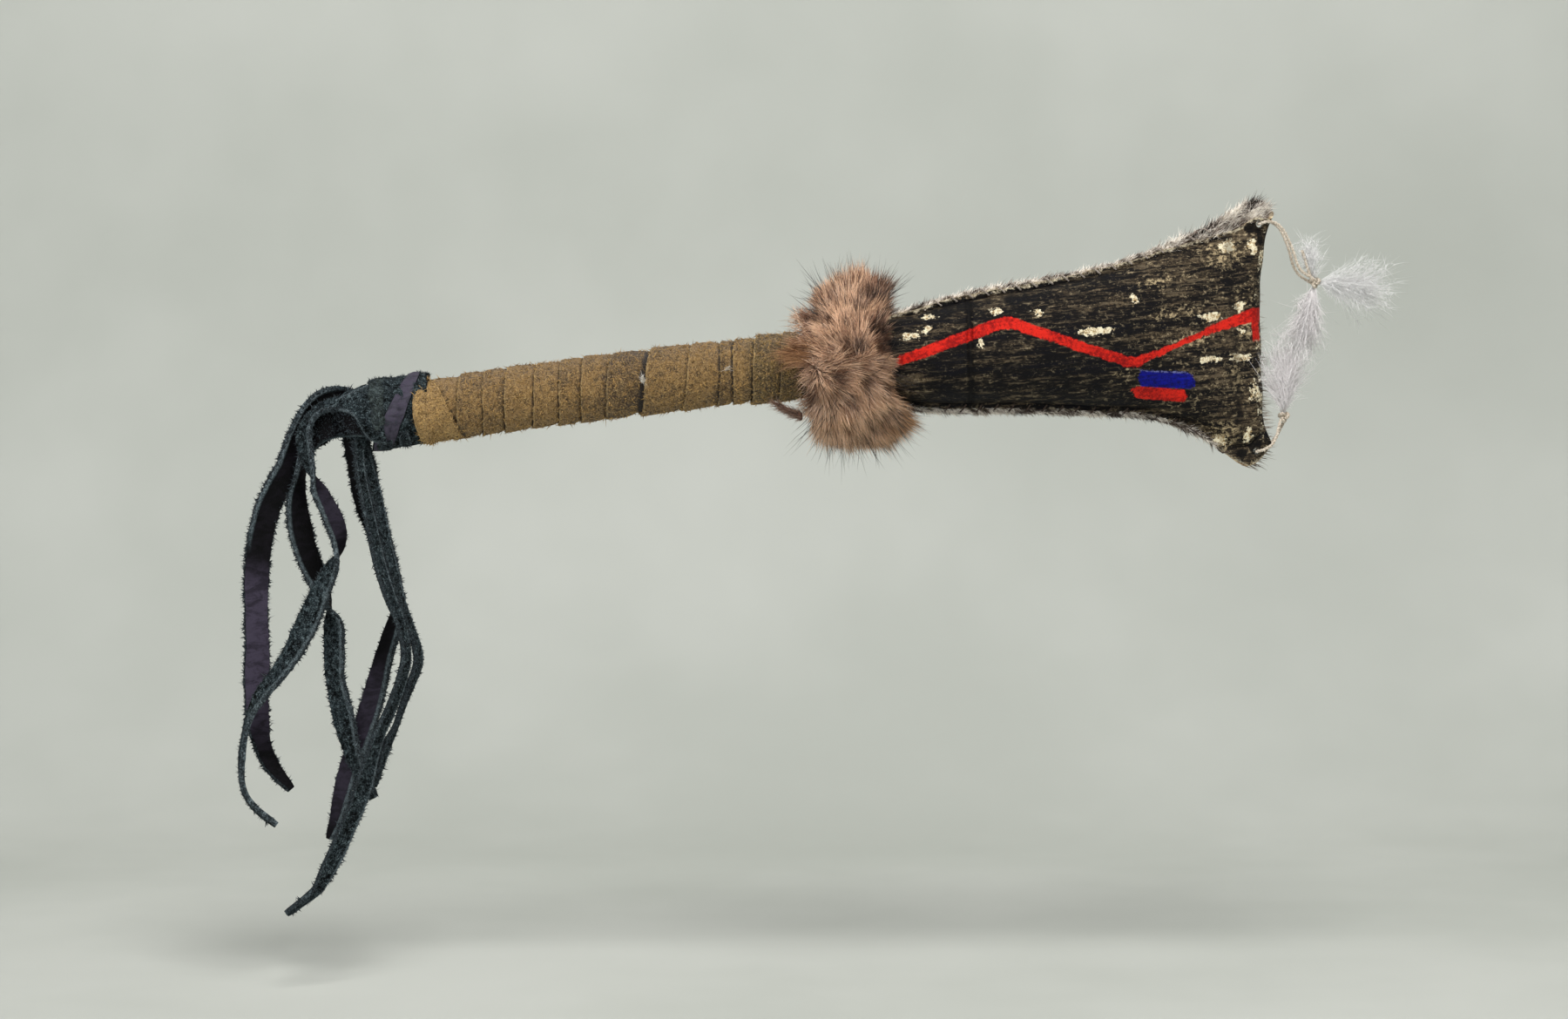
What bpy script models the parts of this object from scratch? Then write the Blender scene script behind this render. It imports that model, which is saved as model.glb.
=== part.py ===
"""A ceremonial rattle: a hide head with pebbles in it, laced at two seams and lashed to a wooden
stick, with a suede-wrapped handle, a fur collar, a suede fringe and two pendants of down.

The handle lies along +X, from the fringe to the head, with +Z up and the painted side towards -Y.
The origin is on the handle's centre line, in the middle of the grip.
"""

import math

import bmesh
import bpy
from mathutils import Vector

# Every size below is in millimetres. MM turns millimetres into Blender's metres.
MM = 0.001
CLEARANCE = 0.3
LEAST_WINDING_GAP = 0.4
WINDING_WEDGE = 1.2

# Stick, and the upward bow of the centre line that the whole rattle follows
STICK_DIAMETER = 18.5
STICK_BUTT = -84.0
STICK_TIP = 128.0
STICK_TIP_ROUNDING = 2.5
STICK_SECTIONS = 18
BOW = 4.6
BOW_START = -73.0
BOW_END = 238.0

# Tan suede strip wound round the grip, each turn lapping the next like a step
WRAP_START = -69.5
WRAP_END = 70.0
WRAP_TURNS = 14
WRAP_THICK_EDGE = 2.3
WRAP_THIN_EDGE = 1.5
WRAP_TURN_GAP = 0.6

# Gathered roots of the fringe: a sleeve round the butt, and a flat tongue that the strips fan from
SLEEVE_START = -70.0
SLEEVE_WALL = 1.6
TONGUE_LENGTH = 10.0
TONGUE_THICKNESS = 6.0
TONGUE_ROOT_HEIGHT = 18.0
TONGUE_TIP_HEIGHT = 12.0
TONGUE_RISE = 4.0
TONGUE_SHOULDER = 1.6
TONGUE_SQUARENESS = 4.0
TONGUE_TIP_SQUARENESS = 3.0

# Green suede strip bound over the sleeve
BINDING_LENGTH = 18.0
BINDING_TURNS = 3
BINDING_THICK_EDGE = 2.3
BINDING_THIN_EDGE = 1.7
BINDING_TURN_GAP = 0.6

# Fringe strips. Each lies in its own layer, front to back, and swings on the tongue.
STRIP_WIDTH = 8.0
STRIP_THICKNESS = 1.6
STRIP_TIP_SHARE = 0.4
STRIP_TAPER_LENGTH = 30.0
STRIP_LAYER_GAP = 0.4
STRIP_STATION = 6.0
FRINGE_ROOT_SETBACK = 1.6

# Each strip: its layer (negative is in front), its pivot, and its route, as offsets from the
# fringe root: along X, and up. Hand-chosen points on a smooth curve.
STRIPS = {
    "fringe_strip_1": (
        1,
        (0.0, 5.0),
        (
            (3.0, 3.5), (-2.5, 6.5), (-7.4, 7.6), (-12.2, 6.6), (-16.8, 3.3), (-20.2, -1.1),
            (-23.2, -6.2), (-25.4, -11.6), (-27.4, -18.0), (-30.8, -23.8), (-35.9, -32.7),
            (-39.6, -43.0), (-42.0, -54.0), (-43.8, -68.0), (-45.0, -84.0), (-46.7, -98.3),
            (-47.4, -110.0), (-47.0, -118.5), (-44.8, -126.2), (-41.8, -131.6), (-37.6, -137.4),
        ),
    ),
    "fringe_strip_2": (
        2,
        (0.0, -1.6),
        (
            (3.0, -1.8), (-2.0, -2.4), (-6.4, -3.2), (-11.4, -5.0), (-15.4, -7.8), (-19.0, -11.8),
            (-21.6, -17.2), (-23.4, -22.5), (-25.2, -29.6), (-25.3, -38.0), (-24.4, -46.5),
            (-22.6, -54.5), (-20.2, -62.1), (-17.6, -70.8), (-16.2, -78.0), (-16.8, -87.0),
            (-17.5, -97.0), (-16.6, -106.0), (-15.6, -115.0), (-13.8, -126.0), (-11.3, -135.0),
            (-7.8, -143.8),
        ),
    ),
    "fringe_strip_3": (
        -2,
        (0.0, 1.6),
        (
            (3.0, 1.6), (-1.0, 3.0), (-4.4, 3.5), (-8.9, 3.0), (-13.0, 1.4), (-16.2, -1.6),
            (-18.1, -5.4), (-18.6, -9.6), (-18.0, -15.4), (-17.0, -21.0), (-15.4, -26.8),
            (-13.5, -31.6), (-11.6, -36.6), (-10.1, -42.0), (-9.8, -46.6), (-10.6, -51.2),
            (-12.7, -55.2), (-18.4, -65.0), (-24.0, -75.2), (-29.8, -84.6), (-36.4, -92.8),
            (-43.2, -99.8), (-48.2, -106.8), (-51.0, -114.0), (-52.8, -121.6), (-53.9, -130.6),
            (-52.9, -136.8), (-49.2, -142.8), (-42.9, -148.8),
        ),
    ),
    "fringe_strip_4": (
        3,
        (-1.2, -4.5),
        (
            (-0.6, -1.5), (-0.9, -8.5), (-0.2, -15.0), (0.5, -22.0), (0.9, -30.0), (1.8, -38.0),
            (3.4, -46.0), (5.2, -55.0), (7.4, -65.0), (8.2, -71.0), (7.5, -76.2), (5.0, -82.2),
            (1.2, -90.9), (-2.8, -101.8), (-7.0, -112.6), (-11.6, -122.8), (-16.0, -132.0),
            (-19.9, -142.2), (-22.6, -150.4), (-25.9, -157.8),
        ),
    ),
    "fringe_strip_5": (
        -3,
        (1.0, -5.5),
        (
            (0.8, -2.5), (1.0, -9.0), (0.4, -15.0), (0.3, -23.0), (1.4, -33.0), (2.9, -44.0),
            (4.4, -56.0), (6.6, -67.0), (9.5, -77.0), (10.9, -86.5), (10.4, -93.0), (7.2, -101.6),
            (2.9, -110.2), (-2.0, -118.6), (-5.5, -126.9), (-8.8, -135.6), (-12.6, -144.0),
            (-17.6, -153.2), (-22.4, -161.6), (-26.6, -168.4), (-30.2, -173.6), (-36.0, -177.6),
            (-42.4, -181.5),
        ),
    ),
    "fringe_strip_6": (
        -1,
        (0.4, -5.5),
        (
            (0.2, -2.5), (0.8, -10.0), (2.2, -18.0), (4.2, -26.5), (5.6, -37.0), (6.8, -49.0),
            (8.6, -60.5), (10.3, -71.0), (12.6, -79.9), (14.5, -88.2), (14.4, -94.2),
            (11.8, -100.2), (7.7, -108.4), (4.0, -116.4), (0.4, -122.6), (-3.2, -130.7),
            (-6.2, -138.0),
        ),
    ),
}

# Head: one hide folded at the far end. Its edges stand together along an upper and a lower seam.
# Distances of those edges from the centre line, (X, distance), past the neck:
HIDE_THICKNESS = 1.6
SEAM_SLIT = 0.6
NECK_START = 76.0
NECK_EASE = 0.2
NECK_FLANGE = 1.6
NECK_SWELL = 1.9
NECK_LENGTH = 16.0
HEAD_TOP = (
    (108.0, 17.3), (130.0, 21.6), (157.0, 24.6), (183.0, 28.5), (203.0, 34.3), (220.0, 40.3),
    (236.0, 49.4), (243.0, 47.8), (247.0, 44.0),
)
HEAD_BOTTOM = (
    (112.0, 20.5), (148.0, 23.5), (173.0, 26.0), (194.0, 28.3), (208.5, 33.8), (215.5, 38.0),
    (222.0, 44.5), (229.0, 48.4), (236.0, 44.0), (241.0, 37.0),
)
# Half the depth of the hollow from front to back, and the height of the flat seam flange, along X
HEAD_DEPTH = (
    (108.0, 15.3), (150.0, 18.0), (185.0, 16.6), (210.0, 12.0), (225.0, 8.0), (234.0, 6.2), (248.0, 6.0),
)
SEAM_FLANGE = ((112.0, 4.0), (200.0, 4.2), (220.0, 6.5), (236.0, 11.0), (248.0, 11.0))
# The folded end: its X at heights from the centre line
HEAD_FOLD = (
    (-48.0, 240.0), (-30.0, 236.6), (-5.0, 237.0), (7.5, 237.8), (25.5, 240.4), (38.0, 243.1), (48.0, 246.2),
)
HEAD_ROWS = 10
HEAD_COLUMNS = 16
COLUMN_CROWDING = 1.25
FOLD_COLUMNS = 6
FOLD_SEARCH_STEPS = 8

# Lacing whipped over both seams
STITCHES = 14
SEAM_START = 116.0
SEAM_END = 222.0
STITCH_INSET = 1.8
THREAD_DIAMETER = 1.0
STITCH_EASE = 0.35
STITCH_HOLE_SIDES = 4
# Half of a stitch's arc over the edges, from the back: its share of the pitch, its depth in shares
# of the seam's and of the thread's half thickness, and its lift in shares of the thread's
STITCH_ARC = ((0.25, 1.0, 1.0, -0.12), (0.35, 1.0, 0.7, 0.9), (0.45, 0.6, 0.0, 1.25))

# Cord that lashes the hide's neck to the stick
LASHING_DIAMETER = 1.8
LASHING_START = 79.0
LASHING_TURNS = 3
LASHING_TURN_GAP = 0.6

# Fur strip: its hide band, the two puffs that it makes, and its loose end
BAND_START = 70.6
BAND_END = 91.0
BAND_WALL = 1.5
PUFF_UPPER_X = 90.0
PUFF_LOWER_X = 86.0
PUFF_HALF_LENGTH = 23.0
PUFF_RIM = 3.0
PUFF_LOFT = 14.0
PUFF_END_ANGLE = 3.5
PUFF_END_FULLNESS = 0.12
PUFF_END_LENGTH = 0.25
PUFF_ROUNDNESS = 0.5
TAIL_LENGTH = 9.5
TAIL_DIAMETER = 3.0
TAIL_LEAN = 30.0
TAIL_SHARE = 0.72
TAIL_PROFILE = ((0.0, 0.8), (0.3, 1.0), (0.7, 0.8), (1.0, 0.25))

# Twine, its knots and the down that they hold. Legs are offsets from an ear's hole, along X and up.
TWINE_DIAMETER = 1.4
TWINE_LEG_GAP = 0.6
TWINE_STATION = 3.5
EAR_HOLE_EASE = 0.5
EAR_HOLE_SIDES = 8
UPPER_HOLE = (240.3, 41.0)
LOWER_HOLE = (232.5, -42.2)
UPPER_LEG = (
    (2.6, 0.6), (5.7, -0.2), (8.2, -3.0), (9.9, -7.4), (11.1, -11.6), (12.0, -16.0), (13.8, -19.4),
)
UPPER_KNOT = (18.6, -23.1)
LOWER_LEG = ((2.6, 0.4), (5.6, 2.0), (8.0, 5.0), (9.2, 7.6))
LOWER_KNOT = (11.2, 11.7)
KNOT_DIAMETER = 4.6
KNOT_LENGTH = 5.6

# Each plume: its tip, as an offset from its knot, and its greatest width and depth
PLUMES_UPPER = {
    "plume_white": ((29.0, -2.5), 15.0, 11.0),
    "plume_tuft": ((-0.6, 14.5), 8.0, 7.0),
    "plume_grey": ((-7.4, -20.3), 12.0, 9.0),
}
PLUMES_LOWER = {"plume_lower": ((1.3, 25.0), 10.5, 9.0)}
PLUME_END_SHARE = 0.12
PLUME_ROUNDNESS = 0.8

# Pebbles that lie in the head, in a row beyond the stick
PEBBLE_DIAMETERS = (6.6, 5.6, 6.2, 5.2, 6.0)
PEBBLE_FIRST_X = 142.0
PEBBLE_SPACING = 9.5
PEBBLE_SHAPE = (1.0, 0.85, 1.0)

LOOP_POINTS = 24
ROUND_SIDES = 16
PUFF_SECTIONS = 12
PUFF_POINTS = 14
TAIL_SIDES = 6
PLUME_SECTIONS = 7
PLUME_SIDES = 10
CORD_SECTIONS = 1
TWINE_SECTIONS = 2
CREASE_ANGLE = 40.0

# Colours (red, green, blue) and roughness
WOOD = ((0.42, 0.28, 0.15), 0.7)
TAN_SUEDE = ((0.27, 0.16, 0.05), 0.95)
GREEN_SUEDE = ((0.017, 0.032, 0.030), 0.9)
BLACK_HIDE = ((0.012, 0.010, 0.009), 0.6)
BROWN_FUR = ((0.36, 0.20, 0.12), 0.95)
DARK_HIDE = ((0.10, 0.05, 0.03), 0.8)
PALE_HIDE = ((0.55, 0.42, 0.28), 0.8)
CREAM_TWINE = ((0.60, 0.50, 0.38), 0.9)
WHITE_DOWN = ((0.82, 0.80, 0.78), 0.95)
GREY_DOWN = ((0.50, 0.46, 0.46), 0.95)
STONE = ((0.24, 0.22, 0.20), 0.6)


def smooth(stations, x):
    """The height at x of a smooth curve through stations, (x, height) in order, level past its ends."""
    if x <= stations[0][0]:
        return stations[0][1]
    if x >= stations[-1][0]:
        return stations[-1][1]
    last = len(stations) - 2
    k = max(i for i in range(last + 1) if stations[i][0] <= x)

    def slope(i):
        before = stations[max(i - 1, 0)]
        after = stations[min(i + 1, last + 1)]
        return (after[1] - before[1]) / (after[0] - before[0])

    (x0, h0), (x1, h1) = stations[k], stations[k + 1]
    step = x1 - x0
    t = (x - x0) / step
    rise = h0 + (h1 - h0) * t * t * (3 - 2 * t)
    return rise + step * (slope(k) * t * (1 - t) ** 2 - slope(k + 1) * t * t * (1 - t))


def smooth_path(points, spacing):
    """Points about spacing apart on a smooth curve through points."""
    ends = [2 * points[0] - points[1], *points, 2 * points[-1] - points[-2]]
    path = []
    for before, start, end, after in zip(ends, ends[1:], ends[2:], ends[3:]):
        steps = max(1, round((end - start).length / spacing))
        for i in range(steps):
            t = i / steps
            bend = (end - before) * (t * (1 - t) ** 2 / 2) - (after - start) * (t * t * (1 - t) / 2)
            path.append(start + (end - start) * (t * t * (3 - 2 * t)) + bend)
    return path + [points[-1]]


def bow(x):
    """Height of the centre line at x. It is 0 at the origin."""
    def arch(at):
        share = (at - BOW_START) / (BOW_END - BOW_START)
        return 4 * share * (1 - share)

    return BOW * (arch(x) - arch(0.0))


def around(x, angle, up, across=None, rise=0.0):
    """A point round the centre line: up times the cosine of angle above it, and across times its
    sine behind it, in the plane square to it."""
    tangent = Vector((1.0, 0.0, bow(x + 0.5) - bow(x - 0.5))).normalized()
    normal = Vector((-tangent.z, 0.0, tangent.x))
    depth = (up if across is None else across) * math.sin(angle)
    return Vector((x, depth, bow(x))) + normal * (rise + up * math.cos(angle))


def finish(name, look):
    colour, roughness = look
    material = bpy.data.materials.new(name)
    material.use_nodes = True
    shader = material.node_tree.nodes["Principled BSDF"]
    shader.inputs["Base Color"].default_value = (*colour, 1.0)
    shader.inputs["Roughness"].default_value = roughness
    return material


def place(name, data, look, origin, parent):
    """Links a new object of data, whose points are relative to origin."""
    item = bpy.data.objects.new(name, data)
    bpy.context.collection.objects.link(item)
    data.materials.append(finish(name, look))
    item.parent = parent
    parent_at = parent.location if parent else Vector()
    item.location = origin * MM - parent_at
    return item


def place_mesh(name, work, look, parent, origin=Vector()):
    """Turns a bmesh in millimetres into an object whose origin is at origin."""
    bmesh.ops.translate(work, verts=work.verts, vec=-origin)
    bmesh.ops.scale(work, verts=work.verts, vec=(MM, MM, MM))
    bmesh.ops.recalc_face_normals(work, faces=work.faces)
    data = bpy.data.meshes.new(name)
    work.to_mesh(data)
    work.free()
    data.shade_smooth()
    data.set_sharp_from_angle(angle=math.radians(CREASE_ANGLE))
    return place(name, data, look, origin, parent)


def place_tube(name, points, diameter, sides_level, look, parent, origin=Vector()):
    """A round cord along points, with flat ends."""
    data = bpy.data.curves.new(name, "CURVE")
    data.dimensions = "3D"
    data.bevel_depth = diameter / 2 * MM
    data.bevel_resolution = round(sides_level)
    data.use_fill_caps = True
    spline = data.splines.new("POLY")
    spline.points.add(len(points) - 1)
    for spot, point in zip(spline.points, points):
        spot.co = (*((point - origin) * MM), 1.0)
    return place(name, data, look, origin, parent)


def loft(rings):
    """A closed bmesh through rings of equally many points, with flat ends."""
    work = bmesh.new()
    made = [[work.verts.new(point) for point in ring] for ring in rings]
    for ring, following in zip(made, made[1:]):
        for i in range(len(ring)):
            j = (i + 1) % len(ring)
            work.faces.new((ring[i], ring[j], following[j], following[i]))
    work.faces.new(made[0])
    work.faces.new(made[-1])
    return work


def turned(x, up, across=None, rise=0.0, squareness=2.0):
    """A ring round the centre line. A squareness over 2 flattens its sides."""
    wide = up if across is None else across
    ring = []
    for i in range(ROUND_SIDES):
        angle = 2 * math.pi * i / ROUND_SIDES
        spread = abs(math.cos(angle)) ** squareness + abs(math.sin(angle)) ** squareness
        bulge = spread ** (-1 / squareness)
        ring.append(around(x, angle, up * bulge, wide * bulge, rise))
    return ring


def tell_gap(name, gap):
    """Prints the least gap of a winding to itself."""
    state = "clear" if gap > LEAST_WINDING_GAP else "too tight"
    print(f"{name}: least gap to itself {gap:.2f} mm, {state}")


def tube_gap(points, apart, diameter):
    """The least gap of a tube to itself, between points that are apart or more along it."""
    return min(
        (points[i] - points[j]).length - diameter
        for i in range(len(points))
        for j in range(i + apart, min(i + 4 * apart, len(points)))
    )


def wound_strip(name, start, end, turns, inner_radius, thick, thin, gap, look, parent):
    """A flat strip wound round the centre line from start to end. Each turn's edge towards the butt
    stands higher, so that it laps over its neighbour like a step. Both ends are cut to a wedge, so
    that the winding begins and ends square to the handle."""
    pitch = (end - start + gap) / turns
    first = math.ceil(LOOP_POINTS * (gap + WINDING_WEDGE) / pitch)
    last = math.floor(LOOP_POINTS * (turns + 1 - (gap + WINDING_WEDGE) / pitch))
    rings = []
    for i in range(first, last + 1):
        angle = 2 * math.pi * i / LOOP_POINTS
        left = start + pitch * (i / LOOP_POINTS - 1)
        low, high = max(start, left), min(end, left + pitch - gap)
        corners = (
            (low, inner_radius),
            (high, inner_radius),
            (high, inner_radius + thin),
            (low, inner_radius + thick),
        )
        rings.append([around(x, angle, radius) for x, radius in corners])
    tell_gap(name, min((a[1] - b[0]).length for a, b in zip(rings, rings[LOOP_POINTS:])))
    return place_mesh(name, loft(rings), look, parent)


def stick(parent):
    radius = STICK_DIAMETER / 2
    step = (STICK_TIP - STICK_TIP_ROUNDING - STICK_BUTT) / STICK_SECTIONS
    rings = [turned(STICK_BUTT + step * i, radius) for i in range(STICK_SECTIONS + 1)]
    rings.append(turned(STICK_TIP, radius - STICK_TIP_ROUNDING))
    return place_mesh("handle_stick", loft(rings), WOOD, parent)


def sleeve_radius():
    return STICK_DIAMETER / 2 + CLEARANCE + SLEEVE_WALL


def sleeve_end():
    """X of the sleeve's far end, just past the binding."""
    return SLEEVE_START - BINDING_LENGTH - CLEARANCE


def tongue_root():
    """X where the tongue reaches its flat thickness."""
    return sleeve_end() - TONGUE_SHOULDER


def gather(parent):
    bore = STICK_DIAMETER / 2 + CLEARANCE
    outer = sleeve_radius()
    shoulder = sleeve_end()
    root = tongue_root()
    tip = root - TONGUE_LENGTH
    half = TONGUE_THICKNESS / 2
    middle_height = (TONGUE_ROOT_HEIGHT + TONGUE_TIP_HEIGHT) / 4
    rings = [
        turned(STICK_BUTT - CLEARANCE, bore),
        turned(SLEEVE_START, bore),
        turned(SLEEVE_START, outer),
        turned(shoulder, outer),
        turned((shoulder + root) / 2, outer - CLEARANCE, (outer + half) / 2, TONGUE_RISE / 4),
        turned(root, TONGUE_ROOT_HEIGHT / 2, half, TONGUE_RISE, TONGUE_SQUARENESS),
        turned((root + tip) / 2, middle_height, half, TONGUE_RISE, TONGUE_SQUARENESS),
        turned(tip, TONGUE_TIP_HEIGHT / 2, half, TONGUE_RISE, TONGUE_SQUARENESS),
        turned(tip - half / 2, TONGUE_TIP_HEIGHT / 3, half / 2, TONGUE_RISE, TONGUE_TIP_SQUARENESS),
    ]
    return place_mesh("fringe_gather", loft(rings), GREEN_SUEDE, parent)


def fringe_root():
    """The point on the tongue that the strips' pivots and routes are measured from."""
    x = tongue_root() - FRINGE_ROOT_SETBACK - STRIP_WIDTH / 2
    return Vector((x, 0.0, bow(x) + TONGUE_RISE))


def fringe_strip(name, layer, pivot, route, parent):
    step = STRIP_THICKNESS + STRIP_LAYER_GAP
    first = TONGUE_THICKNESS / 2 + CLEARANCE + STRIP_THICKNESS / 2
    depth = math.copysign(first + step * (abs(layer) - 1), layer)
    root = fringe_root()
    path = smooth_path([root + Vector((x, depth, z)) for x, z in route], STRIP_STATION)
    left = [0.0]
    for end, start in zip(path[::-1], path[-2::-1]):
        left.append(left[-1] + (end - start).length)
    thick = Vector((0.0, STRIP_THICKNESS / 2, 0.0))
    rings = []
    for i, (point, to_tip) in enumerate(zip(path, left[::-1])):
        tangent = (path[min(i + 1, len(path) - 1)] - path[max(i - 1, 0)]).normalized()
        taper = min(1.0, to_tip / STRIP_TAPER_LENGTH)
        half = STRIP_WIDTH / 2 * (STRIP_TIP_SHARE + (1 - STRIP_TIP_SHARE) * taper)
        side = Vector((-tangent.z, 0.0, tangent.x)) * half
        upper = [point + side - thick, point + side + thick]
        lower = [point - side + thick, point - side - thick]
        rings.append(upper + lower)
    hinge = root + Vector((pivot[0], 0.0, pivot[1]))
    return place_mesh(name, loft(rings), GREEN_SUEDE, parent, hinge)


def neck_radius():
    """Radius of the hide's middle surface where it grips the stick."""
    return STICK_DIAMETER / 2 + CLEARANCE + HIDE_THICKNESS / 2 + NECK_EASE


def with_neck(stations, extra):
    """Stations of the head with those of its neck put before them."""
    start = neck_radius() + extra
    return ((NECK_START, start), (NECK_START + NECK_LENGTH, start + NECK_SWELL), *stations)


def edge_above(x):
    return smooth(with_neck(HEAD_TOP, NECK_FLANGE), x)


def edge_below(x):
    return smooth(with_neck(HEAD_BOTTOM, NECK_FLANGE), x)


def half_depth(x):
    return smooth(with_neck(HEAD_DEPTH, 0.0), x)


def flange(x):
    return smooth(((NECK_START, NECK_FLANGE), (NECK_START + NECK_LENGTH, NECK_FLANGE), *SEAM_FLANGE), x)


def seam_half_gap():
    """Distance of each layer's middle surface from the seam's plane."""
    return (SEAM_SLIT + HIDE_THICKNESS) / 2


def row_height(row, x):
    """Height of a row of the hide from the centre line. Row 0 is the lower edge, then come the
    hollow's rows, then the upper edge."""
    if row == 0:
        return -edge_below(x)
    if row == HEAD_ROWS + 2:
        return edge_above(x)
    top = edge_above(x) - flange(x)
    bottom = flange(x) - edge_below(x)
    return (top + bottom) / 2 - (top - bottom) / 2 * math.cos(math.pi * (row - 1) / HEAD_ROWS)


def row_bulge(row):
    """How far a row stands out from the seam's plane, from 0 on the flanges to 1 in the middle."""
    if row in (0, HEAD_ROWS + 2):
        return 0.0
    return math.sin(math.pi * (row - 1) / HEAD_ROWS)


def hide_row(row):
    """A row of the hide's middle surface, from the neck along the front, round the fold and back."""
    fold = HEAD_FOLD[2][1]
    for _ in range(FOLD_SEARCH_STEPS):
        fold = smooth(HEAD_FOLD, row_height(row, fold))
    flat = seam_half_gap()

    def depth(x):
        return flat + (half_depth(x) - flat) * row_bulge(row)

    round_from = fold - depth(fold)
    radius = depth(round_from)
    front = []
    for i in range(HEAD_COLUMNS):
        share = 1 - (1 - i / HEAD_COLUMNS) ** COLUMN_CROWDING
        x = NECK_START + (round_from - NECK_START) * share
        front.append(Vector((x, -depth(x), bow(x) + row_height(row, x))))
    bend = []
    for i in range(FOLD_COLUMNS + 1):
        angle = math.pi * i / FOLD_COLUMNS
        x = round_from + radius * math.sin(angle)
        bend.append(Vector((x, -radius * math.cos(angle), bow(x) + row_height(row, x))))
    back = [Vector((point.x, -point.y, point.z)) for point in front[::-1]]
    return front + bend + back


def seam_point(x, side, inset=0.0):
    """A point on the upper (side 1) or lower (side -1) seam's edge, inset towards the middle."""
    edge = edge_above(x) if side > 0 else -edge_below(x)
    return Vector((x, 0.0, bow(x) + edge - side * inset))


def stitch_places():
    pitch = (SEAM_END - SEAM_START) / STITCHES
    return [SEAM_START + pitch * i for i in range(STITCHES + 1)], pitch


def ear_hole(spot):
    return Vector((spot[0], 0.0, bow(spot[0]) + spot[1]))


def hide_cutter(parent):
    """Stitch holes and twine holes, right through both layers of the flanges."""
    work = bmesh.new()
    through = 4 * (HIDE_THICKNESS + SEAM_SLIT)
    half = THREAD_DIAMETER / 2 + STITCH_EASE
    ear = TWINE_DIAMETER / 2 + EAR_HOLE_EASE
    holes = [(ear_hole(spot), ear, EAR_HOLE_SIDES) for spot in (UPPER_HOLE, LOWER_HOLE)]
    for x in stitch_places()[0]:
        for side in (1, -1):
            holes.append((seam_point(x, side, STITCH_INSET), half, STITCH_HOLE_SIDES))
    for centre, radius, sides in holes:
        reach = radius / math.cos(math.pi / sides)
        rim = []
        for i in range(sides):
            angle = 2 * math.pi * (i + 0.5) / sides
            rim.append(centre + Vector((reach * math.cos(angle), -through, reach * math.sin(angle))))
        face = work.faces.new([work.verts.new(point) for point in rim])
        pulled = bmesh.ops.extrude_face_region(work, geom=[face])["geom"]
        moved = [item for item in pulled if isinstance(item, bmesh.types.BMVert)]
        bmesh.ops.translate(work, verts=moved, vec=(0.0, 2 * through, 0.0))
    cutter = place_mesh("hide_holes", work, PALE_HIDE, parent)
    cutter.hide_render = True
    cutter.display_type = "WIRE"
    return cutter


def head_hide(parent):
    work = bmesh.new()
    rows = [[work.verts.new(point) for point in hide_row(row)] for row in range(HEAD_ROWS + 3)]
    for row, above in zip(rows, rows[1:]):
        for i in range(len(row) - 1):
            work.faces.new((row[i], row[i + 1], above[i + 1], above[i]))
    hide = place_mesh("head_hide", work, BLACK_HIDE, parent)
    wall = hide.modifiers.new("wall", "SOLIDIFY")
    wall.thickness = HIDE_THICKNESS * MM
    wall.offset = 0.0
    wall.use_even_offset = True
    cut = hide.modifiers.new("holes", "BOOLEAN")
    cut.operation = "DIFFERENCE"
    cut.solver = "EXACT"
    cut.object = hide_cutter(parent)
    return hide


def seam_lacing(name, side, parent):
    """A thread whipped over a seam: through a hole from the front, up the back, over both edges."""
    radius = THREAD_DIAMETER / 2
    face = seam_half_gap() + HIDE_THICKNESS / 2
    over = STITCH_EASE + radius
    arc = [(share, face * deep + over * out, over * lift) for share, deep, out, lift in STITCH_ARC]
    arc += [(1 - share, -depth, lift) for share, depth, lift in arc[::-1]]
    places, pitch = stitch_places()
    points = []
    for x in places:
        hole = seam_point(x, side, STITCH_INSET)
        points += [hole + Vector((0.0, depth, 0.0)) for depth in (-face - over, 0.0, face + over)]
        if x is places[-1]:
            break
        for share, depth, lift in arc:
            points.append(seam_point(x + pitch * share, side, -lift) + Vector((0.0, depth, 0.0)))
    tell_gap(name, tube_gap(points, len(arc) - 1, THREAD_DIAMETER))
    return place_tube(name, points, THREAD_DIAMETER, CORD_SECTIONS, CREAM_TWINE, parent)


def lashing_radius():
    """Radius of the lashing's centre line, clear of the widest part of the neck under it."""
    end = LASHING_START + LASHING_TURNS * (LASHING_DIAMETER + LASHING_TURN_GAP)
    neck = max(edge_above(end), edge_below(end), half_depth(end) + HIDE_THICKNESS / 2)
    return neck + CLEARANCE + LASHING_DIAMETER / 2


def neck_lashing(parent):
    pitch = LASHING_DIAMETER + LASHING_TURN_GAP
    points = []
    for i in range(LASHING_TURNS * LOOP_POINTS + 1):
        angle = 2 * math.pi * i / LOOP_POINTS
        points.append(around(LASHING_START + pitch * i / LOOP_POINTS, angle, lashing_radius()))
    tell_gap("neck_lashing", tube_gap(points, LOOP_POINTS // 2, LASHING_DIAMETER))
    return place_tube("neck_lashing", points, LASHING_DIAMETER, CORD_SECTIONS, PALE_HIDE, parent)


def band_radius():
    """Inner radius of the fur strip's band, clear of the lashing."""
    return (lashing_radius() + LASHING_DIAMETER / 2 + CLEARANCE) / math.cos(math.pi / ROUND_SIDES)


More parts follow.
